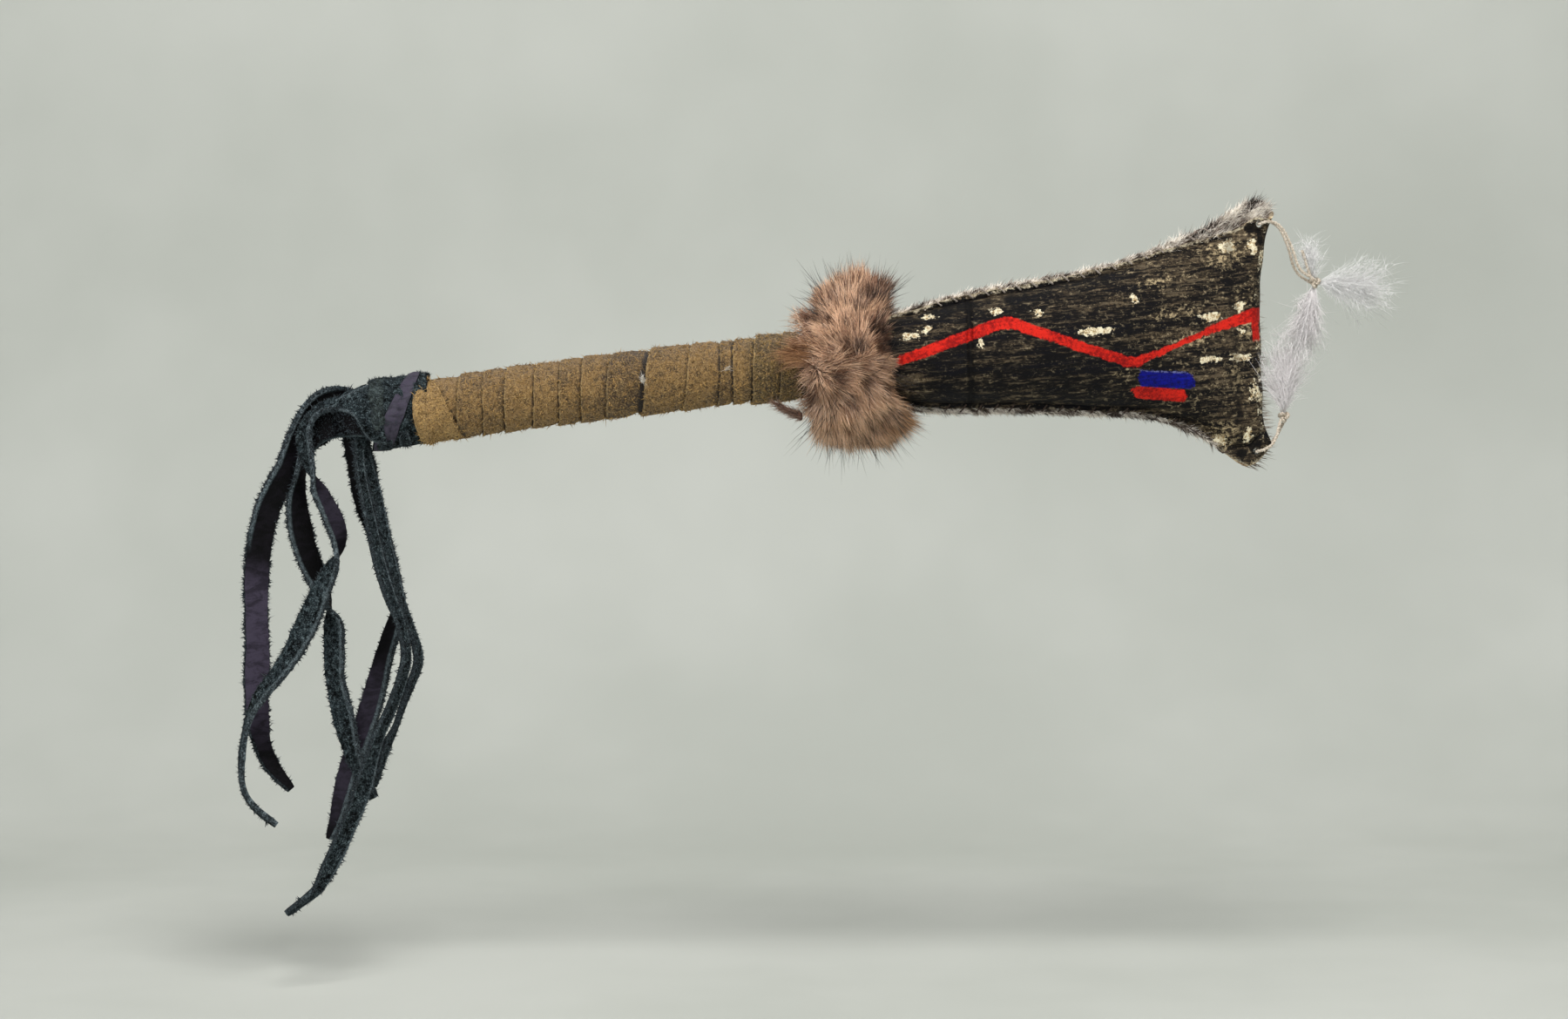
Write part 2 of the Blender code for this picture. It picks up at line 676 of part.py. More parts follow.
def fur_band(parent):
    inner = band_radius()
    outer = inner + BAND_WALL
    corners = ((BAND_START, inner), (BAND_START, outer), (BAND_END, outer), (BAND_END, inner))
    rings = [turned(x, radius) for x, radius in corners]
    work = bmesh.new()
    made = [[work.verts.new(point) for point in ring] for ring in rings]
    for ring, following in zip(made, made[1:] + made[:1]):
        for i in range(ROUND_SIDES):
            j = (i + 1) % ROUND_SIDES
            work.faces.new((ring[i], ring[j], following[j], following[i]))
    return place_mesh("fur_band", work, PALE_HIDE, parent)


def puff_seat(x):
    """Radius of the seat under a puff of fur: the band, or the hide where it has flared past it."""
    hide = max(edge_above(x), edge_below(x))
    return max(band_radius() + BAND_WALL, hide) + CLEARANCE


def puff_fullness(share):
    """How full a puff is at a share of its sweep: most at the middle, and drawn in at both ends."""
    reach = PUFF_END_FULLNESS + (1 - 2 * PUFF_END_FULLNESS) * share
    return math.sin(math.pi * reach) ** PUFF_ROUNDNESS


def puff_half_length(share):
    return PUFF_HALF_LENGTH * (PUFF_END_LENGTH + (1 - PUFF_END_LENGTH) * puff_fullness(share))


def fur_puff(name, middle, side, parent):
    """A swollen half ring of fur that seats on the band, above (side 1) or below (side -1)."""
    sweep = math.pi - 2 * math.radians(PUFF_END_ANGLE)
    start = math.radians(PUFF_END_ANGLE) - math.pi / 2 + (0.0 if side > 0 else math.pi)
    rings = []
    for i in range(PUFF_SECTIONS + 1):
        share = i / PUFF_SECTIONS
        ring = []
        for k in range(PUFF_POINTS):
            turn = 2 * math.pi * k / PUFF_POINTS
            x = middle + puff_half_length(share) * math.cos(turn)
            rim = PUFF_RIM * (1 + min(0.0, math.sin(turn)))
            loft_here = PUFF_LOFT * puff_fullness(share) * max(0.0, math.sin(turn))
            ring.append(around(x, start + sweep * share, puff_seat(x) + rim + loft_here))
        rings.append(ring)
    return place_mesh(name, loft(rings), BROWN_FUR, parent)


def fur_tail(parent):
    """The loose end of the fur strip, a small bare tail that leaves the lower puff towards the grip."""
    root_x = PUFF_LOWER_X - puff_half_length(TAIL_SHARE)
    turn = math.radians(PUFF_END_ANGLE + (180 - 2 * PUFF_END_ANGLE) * TAIL_SHARE + 90)
    root = around(root_x, turn, puff_seat(root_x) + PUFF_RIM) - Vector((CLEARANCE, 0.0, 0.0))
    lean = math.radians(TAIL_LEAN)
    rings = []
    for along, width in TAIL_PROFILE:
        centre = root + Vector((-math.cos(lean), 0.0, math.sin(lean))) * TAIL_LENGTH * along
        ring = []
        for i in range(TAIL_SIDES):
            angle = 2 * math.pi * i / TAIL_SIDES
            reach = TAIL_DIAMETER / 2 * width
            ring.append(centre + Vector((0.0, reach * math.cos(angle), reach * math.sin(angle))))
        rings.append(ring)
    return place_mesh("fur_strip_end", loft(rings), DARK_HIDE, parent)


def twine_loop(name, hole, leg, knot, parent):
    """A doubled twine: from its knot up one side of the ear, through the hole and down the other."""
    radius = TWINE_DIAMETER / 2
    layer = seam_half_gap() + HIDE_THICKNESS / 2 + CLEARANCE + radius
    close = radius + TWINE_LEG_GAP / 2
    centre = hole + Vector((knot[0], 0.0, knot[1]))
    reach = KNOT_DIAMETER / 2 + CLEARANCE
    path = []
    for i, (x, z) in enumerate(leg):
        share = max(0.0, (i - 1) / (len(leg) - 1))
        path.append(hole + Vector((x, layer + (close - layer) * share, z)))
    arrive = Vector((path[-1].x - centre.x, 0.0, path[-1].z - centre.z)).normalized()
    path.append(centre + arrive * reach + Vector((0.0, close, 0.0)))
    back = smooth_path([hole + Vector((0.0, layer, 0.0)), *path], TWINE_STATION)
    front = [Vector((point.x, -point.y, point.z)) for point in back]
    points = front[::-1] + [hole] + back
    return place_tube(name, points, TWINE_DIAMETER, TWINE_SECTIONS, CREAM_TWINE, parent, hole)


def twine_knot(name, hole, knot, parent):
    work = bmesh.new()
    bmesh.ops.create_icosphere(work, subdivisions=2, radius=KNOT_DIAMETER / 2)
    bmesh.ops.scale(work, verts=work.verts, vec=(1.0, KNOT_LENGTH / KNOT_DIAMETER, 1.0))
    centre = hole + Vector((knot[0], 0.0, knot[1]))
    bmesh.ops.translate(work, verts=work.verts, vec=centre)
    return place_mesh(name, work, CREAM_TWINE, parent, hole)


def plume(name, hole, knot, tip, width, depth, look, parent):
    """A soft plume: a spindle from its knot to its tip."""
    centre = hole + Vector((knot[0], 0.0, knot[1]))
    line = Vector((tip[0], 0.0, tip[1]))
    along = line.normalized()
    root = centre + along * (KNOT_DIAMETER / 2 + CLEARANCE)
    length = line.length - KNOT_DIAMETER / 2 - CLEARANCE
    side = Vector((-along.z, 0.0, along.x))
    rings = []
    for i in range(PLUME_SECTIONS + 1):
        share = i / PLUME_SECTIONS
        swell = math.sin(math.pi * share) ** PLUME_ROUNDNESS if i < PLUME_SECTIONS else 0.0
        full = PLUME_END_SHARE + (1 - PLUME_END_SHARE) * swell
        ring = []
        for k in range(PLUME_SIDES):
            angle = 2 * math.pi * k / PLUME_SIDES
            across = side * (width / 2 * math.cos(angle))
            across.y = depth / 2 * math.sin(angle)
            ring.append(root + along * length * share + across * full)
        rings.append(ring)
    return place_mesh(name, loft(rings), look, parent, hole)


def pebble_ends(x, radius):
    """Lowest and highest place of a pebble's centre at x."""
    wall = HIDE_THICKNESS / 2 + CLEARANCE + radius
    return bow(x) - edge_below(x) + flange(x) + wall, bow(x) + edge_above(x) - flange(x) - wall


def pebble(index, parent):
    radius = PEBBLE_DIAMETERS[index] / 2
    x = PEBBLE_FIRST_X + PEBBLE_SPACING * index
    low, high = pebble_ends(x, radius)
    work = bmesh.new()
    bmesh.ops.create_icosphere(work, subdivisions=2, radius=radius)
    bmesh.ops.scale(work, verts=work.verts, vec=PEBBLE_SHAPE)
    centre = Vector((x, 0.0, low))
    bmesh.ops.translate(work, verts=work.verts, vec=centre)
    print(f"pebble_{index + 1}: travels {high - low:.1f} mm")
    return place_mesh(f"pebble_{index + 1}", work, STONE, parent, centre)


def pendant_pivot(name, hole, parent):
    """An empty on a pendant's swing axis, which runs through its ear hole."""
    pivot = bpy.data.objects.new(name, None)
    bpy.context.collection.objects.link(pivot)
    pivot.parent = parent
    pivot.location = hole * MM
    return pivot


def pendants(parent):
    upper = ear_hole(UPPER_HOLE)
    pivot = pendant_pivot("upper_pendant", upper, parent)
    twine_loop("twine_upper", upper, UPPER_LEG, UPPER_KNOT, pivot)
    twine_knot("twine_upper_knot", upper, UPPER_KNOT, pivot)
    for name, (tip, width, depth) in PLUMES_UPPER.items():
        look = GREY_DOWN if name == "plume_grey" else WHITE_DOWN
        plume(name, upper, UPPER_KNOT, tip, width, depth, look, pivot)
    lower = ear_hole(LOWER_HOLE)
    pivot = pendant_pivot("lower_pendant", lower, parent)
    twine_loop("twine_lower", lower, LOWER_LEG, LOWER_KNOT, pivot)
    twine_knot("twine_lower_knot", lower, LOWER_KNOT, pivot)
    for name, (tip, width, depth) in PLUMES_LOWER.items():
        plume(name, lower, LOWER_KNOT, tip, width, depth, GREY_DOWN, pivot)


def main():
    for item in list(bpy.data.objects):
        bpy.data.objects.remove(item, do_unlink=True)
    rattle = bpy.data.objects.new("rattle", None)
    bpy.context.collection.objects.link(rattle)

    stick(rattle)
    wound_strip(
        "handle_wrap", WRAP_START, WRAP_END, WRAP_TURNS, STICK_DIAMETER / 2 + CLEARANCE,
        WRAP_THICK_EDGE, WRAP_THIN_EDGE, WRAP_TURN_GAP, TAN_SUEDE, rattle,
    )
    gather(rattle)
    wound_strip(
        "butt_binding", SLEEVE_START - BINDING_LENGTH, SLEEVE_START, BINDING_TURNS,
        sleeve_radius() + CLEARANCE, BINDING_THICK_EDGE, BINDING_THIN_EDGE, BINDING_TURN_GAP,
        GREEN_SUEDE, rattle,
    )
    for name, (layer, pivot, route) in STRIPS.items():
        fringe_strip(name, layer, pivot, route, rattle)
    head_hide(rattle)
    seam_lacing("seam_lacing_upper", 1, rattle)
    seam_lacing("seam_lacing_lower", -1, rattle)
    neck_lashing(rattle)
    fur_band(rattle)
    fur_puff("fur_collar_upper", PUFF_UPPER_X, 1, rattle)
    fur_puff("fur_collar_lower", PUFF_LOWER_X, -1, rattle)
    fur_tail(rattle)
    pendants(rattle)
    for index in range(len(PEBBLE_DIAMETERS)):
        pebble(index, rattle)


main()
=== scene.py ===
"""Looks of the ceremonial rattle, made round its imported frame: suede, fur, painted hide, twine and down.

Sizes are in millimetres in the frame of the part: +X along the handle to the head, +Z up, and the
painted side towards -Y. MM turns them into metres.
"""

import functools
import math

import bpy
import numpy as np
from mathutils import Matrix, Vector, noise


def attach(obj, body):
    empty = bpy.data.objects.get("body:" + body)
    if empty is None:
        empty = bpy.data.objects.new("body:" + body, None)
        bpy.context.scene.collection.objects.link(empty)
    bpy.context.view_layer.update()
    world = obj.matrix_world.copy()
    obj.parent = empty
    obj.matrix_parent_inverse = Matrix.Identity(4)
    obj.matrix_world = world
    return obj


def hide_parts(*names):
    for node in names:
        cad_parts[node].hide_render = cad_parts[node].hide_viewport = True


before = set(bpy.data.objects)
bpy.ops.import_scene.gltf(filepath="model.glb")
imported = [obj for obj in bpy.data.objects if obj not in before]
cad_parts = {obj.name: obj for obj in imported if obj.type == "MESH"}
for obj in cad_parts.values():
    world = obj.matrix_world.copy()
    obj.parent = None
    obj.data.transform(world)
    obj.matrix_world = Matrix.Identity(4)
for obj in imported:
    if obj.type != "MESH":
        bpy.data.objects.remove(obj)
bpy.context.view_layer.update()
bpy.ops.object.select_all(action="DESELECT")

MM = 0.001
GRIP = "rattle"
SOFT_ANGLE = math.radians(50.0)
UP = Vector((0.0, 0.0, 1.0))
BACK = Vector((0.0, 1.0, 0.0))

# Centre line
BOW = 4.6
BOW_START = -73.0
BOW_END = 238.0

# Handle
STICK_RADIUS = 9.25
CLEARANCE = 0.3
WRAP_EDGES = (
    -70.0, -57.0, -47.6, -39.8, -28.9, -19.6, -11.6, -2.2, 11.9, 27.3, 39.5, 44.0, 51.4, 61.7, 70.0,
)
WRAP_INNER = STICK_RADIUS + CLEARANCE
WRAP_THICK = 1.35
WRAP_LAP = 0.85
# How far each turn runs on under the next, and the share of a turn at which the front is reached
WRAP_UNDER = 1.1
AT_FRONT = 0.75
# Angle at which the wrap's loose end comes out of the winding, and how far round it lies, in degrees
FLAP_START = 166.0
FLAP_SWEEP = 184.0
# X of its lowest point, its share of the way round there, and the painted shadow that its edge casts
FLAP_LOW = -72.9
FLAP_LOW_AT = 0.55
FLAP_SHADOW = 0.75
# About the radius of the wrapped handle, for noise that runs round it
GRIP_RADIUS = 12.0
# For each turn from the butt: how far it stands off the stick, its gap to the next, and its tone
WRAP_LIFTS = (-0.5, 0.1, 0.0, 0.2, 0.05, 0.2, 0.4, 0.1, 0.5, 0.3, 0.0, 0.0, 0.95, 0.85)
WRAP_GAPS = (0.0, 0.0, 0.1, 0.0, 0.0, 0.1, 0.3, 1.6, 0.0, 0.2, 0.3, 0.1, 0.4, 0.0)
WRAP_TONES = (0.8, 0.5, 0.55, 0.75, 0.7, 0.5, 0.55, 0.2, 0.55, 0.65, 0.45, 0.6, 0.4, 0.3)

# Binding and gathered roots
SLEEVE_RADIUS = WRAP_INNER + 1.6
BINDING_START = -88.0
BINDING_END = -70.0
TONGUE_ROOT = -89.9
TONGUE_TIP = -99.9
FRINGE_ROOT = Vector((-95.5, 0.0, -0.73))

# Fringe strips: layer, and route as (X, Z, turn). X and Z are offsets from the fringe root. At a turn of
# 0 degrees the napped side faces forward, at 180 the smooth one.
STRIP_WIDTH = 8.0
STRIP_FULLNESS = {1: 1.12, 2: 1.06, 3: 1.0, 4: 1.0, 5: 0.9, 6: 0.9}
STRIP_THICKNESS = 1.9
STRIP_TAPER = 30.0
STRIP_TIP_SHARE = 0.34
STRIP_FIRST_LAYER = 4.1
STRIP_LAYER_STEP = 2.0
STRIP_SPACING = 1.6
STRIP_FIBRES = 4200
# Heights between which a strip's root narrows or widens to the strip
STRIP_ROOT_SPAN = (-54.0, -26.0)
# How strongly a painted sheen lightens the smooth side of a strip, and the heights between which it does
STRIP_PAINTED_SHEEN = {1: (0.75, -56.0, -116.0), 3: (0.3, -24.0, -46.0), 4: (0.35, -96.0, -150.0)}
# Edge of each strip over which its nap curls onto the smooth side
STRIP_CURLED = {1: 1, 2: 1, 3: 1, 4: -1, 5: 1, 6: 1}
# Height at which that curl ends
STRIP_CURL_ENDS = {1: -44.0}
# Side of a strip that differs beside its root, and how much broader it is there
STRIP_ROOTS = {4: (1, 0.42), 5: (-1, -0.5)}
STRIPS = {
    1: (1, (
        (3.0, 3.5, 250), (-2.5, 6.5, 250), (-7.4, 7.6, 252), (-12.2, 6.6, 252), (-16.8, 3.3, 252),
        (-20.2, -1.1, 251), (-23.2, -6.2, 248), (-25.4, -11.6, 240), (-27.4, -18.0, 222),
        (-30.8, -23.8, 207), (-35.9, -32.7, 198), (-39.6, -43.0, 194), (-42.0, -54.0, 194),
        (-43.8, -68.0, 205), (-45.0, -84.0, 203), (-46.7, -98.3, 196), (-47.4, -110.0, 212),
        (-47.0, -118.5, 230), (-44.8, -126.2, 226), (-41.8, -131.6, 232), (-37.6, -137.4, 240),
    )),
    2: (2, (
        (3.0, -1.8, 165), (-2.0, -2.4, 163), (-6.4, -3.2, 162), (-11.4, -5.0, 170), (-15.4, -7.8, 205),
        (-19.0, -11.8, 246), (-21.6, -17.2, 252), (-23.4, -22.5, 250), (-25.2, -29.6, 228),
        (-25.3, -38.0, 206), (-24.4, -46.5, 197), (-22.6, -54.5, 204), (-20.2, -62.1, 226),
        (-17.6, -70.8, 264), (-16.2, -78.0, 318), (-16.8, -87.0, 324), (-17.5, -97.0, 318),
        (-16.6, -106.0, 322), (-15.6, -115.0, 330), (-13.8, -126.0, 312), (-11.3, -135.0, 312),
        (-7.8, -143.8, 330),
    )),
    3: (-2, (
        (3.0, 1.6, -50), (-1.0, 3.0, -55), (-4.4, 3.5, -62), (-8.9, 3.0, -68), (-13.0, 1.4, -72),
        (-16.2, -1.6, -68), (-18.1, -5.4, -58), (-18.6, -9.6, -52), (-18.0, -15.4, -62),
        (-17.0, -21.0, -80), (-15.4, -26.8, -118), (-13.5, -31.6, -130), (-11.6, -36.6, -142),
        (-10.1, -42.0, -138), (-9.8, -46.6, -118), (-10.6, -51.2, -95), (-12.7, -55.2, -62),
        (-18.4, -65.0, -35), (-24.0, -75.2, -16), (-29.8, -84.6, -36), (-36.4, -92.8, -52),
        (-43.2, -99.8, -62), (-48.2, -106.8, -76), (-51.0, -114.0, -82), (-52.8, -121.6, -80),
        (-53.9, -130.6, -84), (-52.9, -136.8, -82), (-49.2, -142.8, -76), (-42.9, -148.8, -74),
    )),
    4: (3, (
        (-0.6, -1.5, 172), (-0.9, -8.5, 172), (-0.2, -15.0, 170), (0.5, -22.0, 168), (0.9, -30.0, 166),
        (1.8, -38.0, 164), (3.4, -46.0, 158), (5.2, -55.0, 145), (7.4, -65.0, 125), (8.2, -71.0, 115),
        (7.5, -76.2, 118), (5.0, -82.2, 128), (1.2, -90.9, 134), (-2.8, -101.8, 150), (-7.0, -112.6, 158),
        (-11.6, -122.8, 152), (-16.0, -132.0, 148), (-19.9, -142.2, 150), (-22.6, -150.4, 140),
        (-25.9, -157.8, 125),
    )),
    5: (-3, (
        (0.8, -2.5, 40), (1.0, -9.0, 55), (0.4, -15.0, 66), (0.3, -23.0, 67), (1.4, -33.0, 68),
        (2.9, -44.0, 68), (4.4, -56.0, 68), (6.6, -67.0, 69), (9.5, -77.0, 74), (10.9, -86.5, 75),
        (10.4, -93.0, 73), (7.2, -101.6, 70), (2.9, -110.2, 69), (-2.0, -118.6, 66), (-5.5, -126.9, 58),
        (-8.8, -135.6, 48), (-12.6, -144.0, 46), (-17.6, -153.2, 48), (-22.4, -161.6, 46),
        (-26.6, -168.4, 50), (-30.2, -173.6, 64), (-36.0, -177.6, 70), (-42.4, -181.5, 70),
    )),
    6: (-1, (
        (0.2, -2.5, 40), (0.8, -10.0, 55), (2.2, -18.0, 64), (4.2, -26.5, 66), (5.6, -37.0, 66),
        (6.8, -49.0, 68), (8.6, -60.5, 72), (10.3, -71.0, 76), (12.6, -79.9, 80), (14.5, -88.2, 78),
        (14.4, -94.2, 76), (11.8, -100.2, 78), (7.7, -108.4, 84), (4.0, -116.4, 86), (0.4, -122.6, 74),
        (-3.2, -130.7, 76), (-6.2, -138.0, 80),
    )),
}

# Head
HIDE_THICKNESS = 1.6
SEAM_SLIT = 0.6
NECK_START = 76.0
NECK_RADIUS = 10.55
NECK_FLANGE = 1.6
NECK_SWELL = 1.9
NECK_LENGTH = 16.0
HEAD_TOP = (
    (108.0, 17.3), (130.0, 21.6), (157.0, 24.6), (183.0, 28.5), (203.0, 34.3), (220.0, 40.3),
    (236.0, 49.4), (243.0, 47.8), (247.0, 44.0),
)
HEAD_BOTTOM = (
    (112.0, 20.5), (148.0, 23.5), (173.0, 26.0), (194.0, 28.3), (208.5, 33.8), (215.5, 38.0),
    (222.0, 44.5), (229.0, 48.4), (236.0, 44.0), (241.0, 37.0),
)
HEAD_DEPTH = (
    (108.0, 15.3), (150.0, 18.0), (185.0, 16.6), (210.0, 12.0), (225.0, 8.0), (234.0, 6.2), (248.0, 6.0),
)
SEAM_FLANGE = ((112.0, 4.0), (200.0, 4.2), (220.0, 6.5), (236.0, 11.0), (248.0, 11.0))
HEAD_FOLD = (
    (-48.0, 239.0), (-30.0, 235.4), (-5.0, 235.6), (7.5, 236.4), (25.5, 239.2), (38.0, 242.3), (48.0, 245.6),
)
FLANGE_SHARE = 0.08
FRONT_SHARE = 0.46
# How far the painted front stops short of the hairy back along each seam
TOP_DROP = (
    (76.0, 0.8), (110.0, 1.2), (160.0, 1.3), (178.0, 1.0), (195.0, 1.4), (213.0, 2.8), (223.0, 4.8),
    (229.0, 7.2), (234.0, 8.0), (238.0, 6.6), (241.0, 5.6), (248.0, 5.6),
)
BOTTOM_DROP = ((76.0, 0.6), (215.0, 0.8), (230.0, 1.4), (248.0, 1.4))
BACK_DROP = 0.9
# Where the coat begins beside the fur and where the ears begin, and the hairs of the back
COAT_START = 92.0
EAR_START = 205.0
COAT_HAIRS = 14500
UPPER_HOLE = (240.3, 41.0)
LOWER_HOLE = (232.5, -42.2)
EAR_HOLE_RADIUS = 1.25

# Seams
STITCHES = 18
SEAM_START = 116.0
SEAM_END = 222.0
STITCH_INSET = 1.8
THREAD_DIAMETER = 0.8
STITCH_EASE = 0.2
STITCH_ARC = ((0.25, 1.0, 1.0, -0.12), (0.35, 1.0, 0.7, 0.9), (0.45, 0.6, 0.0, 1.25))

# Collar
BAND_RADIUS = 15.7
PUFF_SEAT = 17.3
PUFF_HALF_LENGTHS = {1: 9.0, -1: 12.2}
PUFF_LOFTS = {1: 4.2, -1: 5.6}
PUFF_HAIRS = 12000
GUARD_HAIRS = 380
LOCK_HAIRS = 520
# Ends of the hide band under the fur, and its thickness
BAND_ENDS = (70.6, 91.0)
BAND_THICK = 1.5

# View
VIEW_CENTRE = Vector((58.0, 0.0, -50.9))
VIEW_DISTANCE = 1400.0
VIEW_ROLL = math.radians(5.2)
VIEW_RISE = math.radians(4.0)
LENS = 87.5
SENSOR_WIDTH = 36.0
FLOOR_DROP = 178.0

# Pendants: twine legs and knots as offsets from an ear's hole, and the twine's end from its knot
TWINE_DIAMETER = 1.4
TWINE_APART = 0.85
TWINE_PITCH = 2.6
TWINE_SPACING = 0.8
# Diameter of a ply as a share of its cord's
PLY_SHARE = 0.56
UPPER_LEG = (
    (2.6, 0.6), (5.7, -0.2), (8.2, -3.0), (9.9, -7.4), (11.1, -11.6), (12.0, -16.0), (13.8, -19.4),
)
UPPER_KNOT = (18.6, -23.1)
LOWER_LEG = ((2.6, 0.4), (5.6, 2.0), (8.0, 5.0), (9.2, 7.6))
LOWER_KNOT = (11.2, 11.7)
KNOT_DIAMETER = 4.6
TWINE_END = ((0.0, 0.0), (-1.4, 2.0), (-2.2, 5.0), (-3.0, 8.6), (-3.8, 12.0))


def srgb(red, green, blue):
    """A colour given as 0 to 255 on a screen, in a finish's own numbers."""
    shares = [value / 255 for value in (red, green, blue)]
    return (*(v / 12.92 if v <= 0.04045 else ((v + 0.055) / 1.055) ** 2.4 for v in shares), 1.0)


# Lines and surfaces


def smooth(stations, x):
    """The height at x of a smooth curve through stations, level past its ends."""
    if x <= stations[0][0]:
        return stations[0][1]
    if x >= stations[-1][0]:
        return stations[-1][1]
    last = len(stations) - 2
    k = max(i for i in range(last + 1) if stations[i][0] <= x)

    def slope(i):
        before = stations[max(i - 1, 0)]
        after = stations[min(i + 1, last + 1)]
        return (after[1] - before[1]) / (after[0] - before[0])

    (x0, h0), (x1, h1) = stations[k], stations[k + 1]
    step = x1 - x0
    t = (x - x0) / step
    rise = h0 + (h1 - h0) * t * t * (3 - 2 * t)
    return rise + step * (slope(k) * t * (1 - t) ** 2 - slope(k + 1) * t * t * (1 - t))


def smooth_path(points, spacing):
    """Points about spacing apart on a smooth curve through points."""
    ends = [2 * points[0] - points[1], *points, 2 * points[-1] - points[-2]]
    path = []
    for before, start, end, after in zip(ends, ends[1:], ends[2:], ends[3:]):
        steps = max(1, round((end - start).length / spacing))
        for i in range(steps):
            t = i / steps
            bend = (end - before) * (t * (1 - t) ** 2 / 2) - (after - start) * (t * t * (1 - t) / 2)
            path.append(start + (end - start) * (t * t * (3 - 2 * t)) + bend)
    return path + [points[-1]]


def path_length(path):
    return sum((b - a).length for a, b in zip(path, path[1:]))


def tangent_at(path, i):
    return (path[min(i + 1, len(path) - 1)] - path[max(i - 1, 0)]).normalized()


def bow(x):
    """Height of the centre line at x. It is 0 at the origin."""
    def arch(at):
        share = (at - BOW_START) / (BOW_END - BOW_START)
        return 4 * share * (1 - share)

    return BOW * (arch(x) - arch(0.0))


def around(x, angle, up, across=None, rise=0.0):
    """A point round the centre line: up above it at angle 0, across behind it at a quarter turn."""
    tangent = Vector((1.0, 0.0, bow(x + 0.5) - bow(x - 0.5))).normalized()
    normal = Vector((-tangent.z, 0.0, tangent.x))
    depth = (up if across is None else across) * math.sin(angle)
    return Vector((x, depth, bow(x))) + normal * (rise + up * math.cos(angle))


def rough(point, size, seed=0.0):
    """Smooth noise from -1 to 1 whose lumps are about size across."""
    return noise.noise(Vector(point) / size + Vector((seed, seed * 1.7, -seed)))


def eased(value, low, high):
    """0 at low and 1 at high, with a soft step between. High may be the lower one."""
    t = min(max((value - low) / (high - low), 0.0), 1.0)
    return t * t * (3 - 2 * t)


# Finishes


class Wire:
    """An output of a finish's node. Arithmetic on it adds Math nodes."""

    def __init__(self, finish, socket):
        self.finish = finish
        self.socket = socket

    def __add__(self, other):
        return self.finish.maths("ADD", self, other)

    def __sub__(self, other):
        return self.finish.maths("SUBTRACT", self, other)

    def __rsub__(self, other):
        return self.finish.maths("SUBTRACT", other, self)

    def __mul__(self, other):
        return self.finish.maths("MULTIPLY", self, other)

    def __truediv__(self, other):
        return self.finish.maths("DIVIDE", self, other)

    def __abs__(self):
        return self.finish.maths("ABSOLUTE", self)

    __radd__ = __add__
    __rmul__ = __mul__

    def at_most(self, other):
        return self.finish.maths("MINIMUM", self, other)

    def at_least(self, other):
        return self.finish.maths("MAXIMUM", self, other)

    def from_to(self, low, high):
        """0 below low and 1 above high, with a soft step between. High may be the lower one."""
        settings = {"interpolation_type": "SMOOTHSTEP"}
        return self.finish.node("MapRange", settings, {0: self, 1: low, 2: high, 3: 0.0, 4: 1.0})


class Finish:
    """A material whose nodes are added one by one."""

    def __init__(self, name, **constants):
        self.material = bpy.data.materials.new(name)
        self.material.use_nodes = True
        self.tree = self.material.node_tree
        self.shader = self.tree.nodes["Principled BSDF"]
        for key, value in constants.items():
            self.shader.inputs[key.replace("_", " ").title().replace("Ior", "IOR")].default_value = value

    def link(self, socket, value):
        if isinstance(value, Wire):
            self.tree.links.new(value.socket, socket)
        else:
            socket.default_value = value

    def node(self, kind, settings=None, inputs=None, out=0):
        made = self.tree.nodes.new("ShaderNode" + kind)
        for key, value in (settings or {}).items():
            setattr(made, key, value)
        for key, value in (inputs or {}).items():
            self.link(made.inputs[key], value)
        return Wire(self, made.outputs[out])

    def maths(self, operation, *values):
        return self.node("Math", {"operation": operation}, dict(enumerate(values)))

    def place(self):
        return self.node("TexCoord", out="Object")

    def along(self, vector, axis):
        return self.node("SeparateXYZ", None, {0: vector}, axis)

    def stretched(self, vector, scale, turn=0.0):
        rotation = (0.0, turn, 0.0)
        return self.node("Mapping", None, {"Vector": vector, "Scale": scale, "Rotation": rotation})

    def grain(self, vector, scale, detail=3.0, roughness=0.6, distortion=0.0):
        inputs = {"Vector": vector, "Scale": scale, "Detail": detail, "Roughness": roughness}
        return self.node("TexNoise", None, {**inputs, "Distortion": distortion})

    def cells(self, vector, scale):
        return self.node("TexVoronoi", None, {"Vector": vector, "Scale": scale})

    def mark(self, name):
        """A number that the piece's own points carry."""
        return self.node("Attribute", {"attribute_name": name}, out="Fac")

    def mix(self, share, *colours):
        """From one colour to another. Each is a wire, or 0 to 255 on a screen."""
        first, second = (c if isinstance(c, Wire) else srgb(*c) for c in colours)
        return self.node("Mix", {"data_type": "RGBA"}, {0: share, 6: first, 7: second}, 2)

    def finish(self, colour, roughness, height=None, depth=0.0, strength=0.6):
        self.link(self.shader.inputs["Base Color"], colour)
        self.link(self.shader.inputs["Roughness"], roughness)
        if height is not None:
            bump = self.node("Bump", None, {"Strength": strength, "Distance": depth, "Height": height})
            self.link(self.shader.inputs["Normal"], bump)
        return self.material


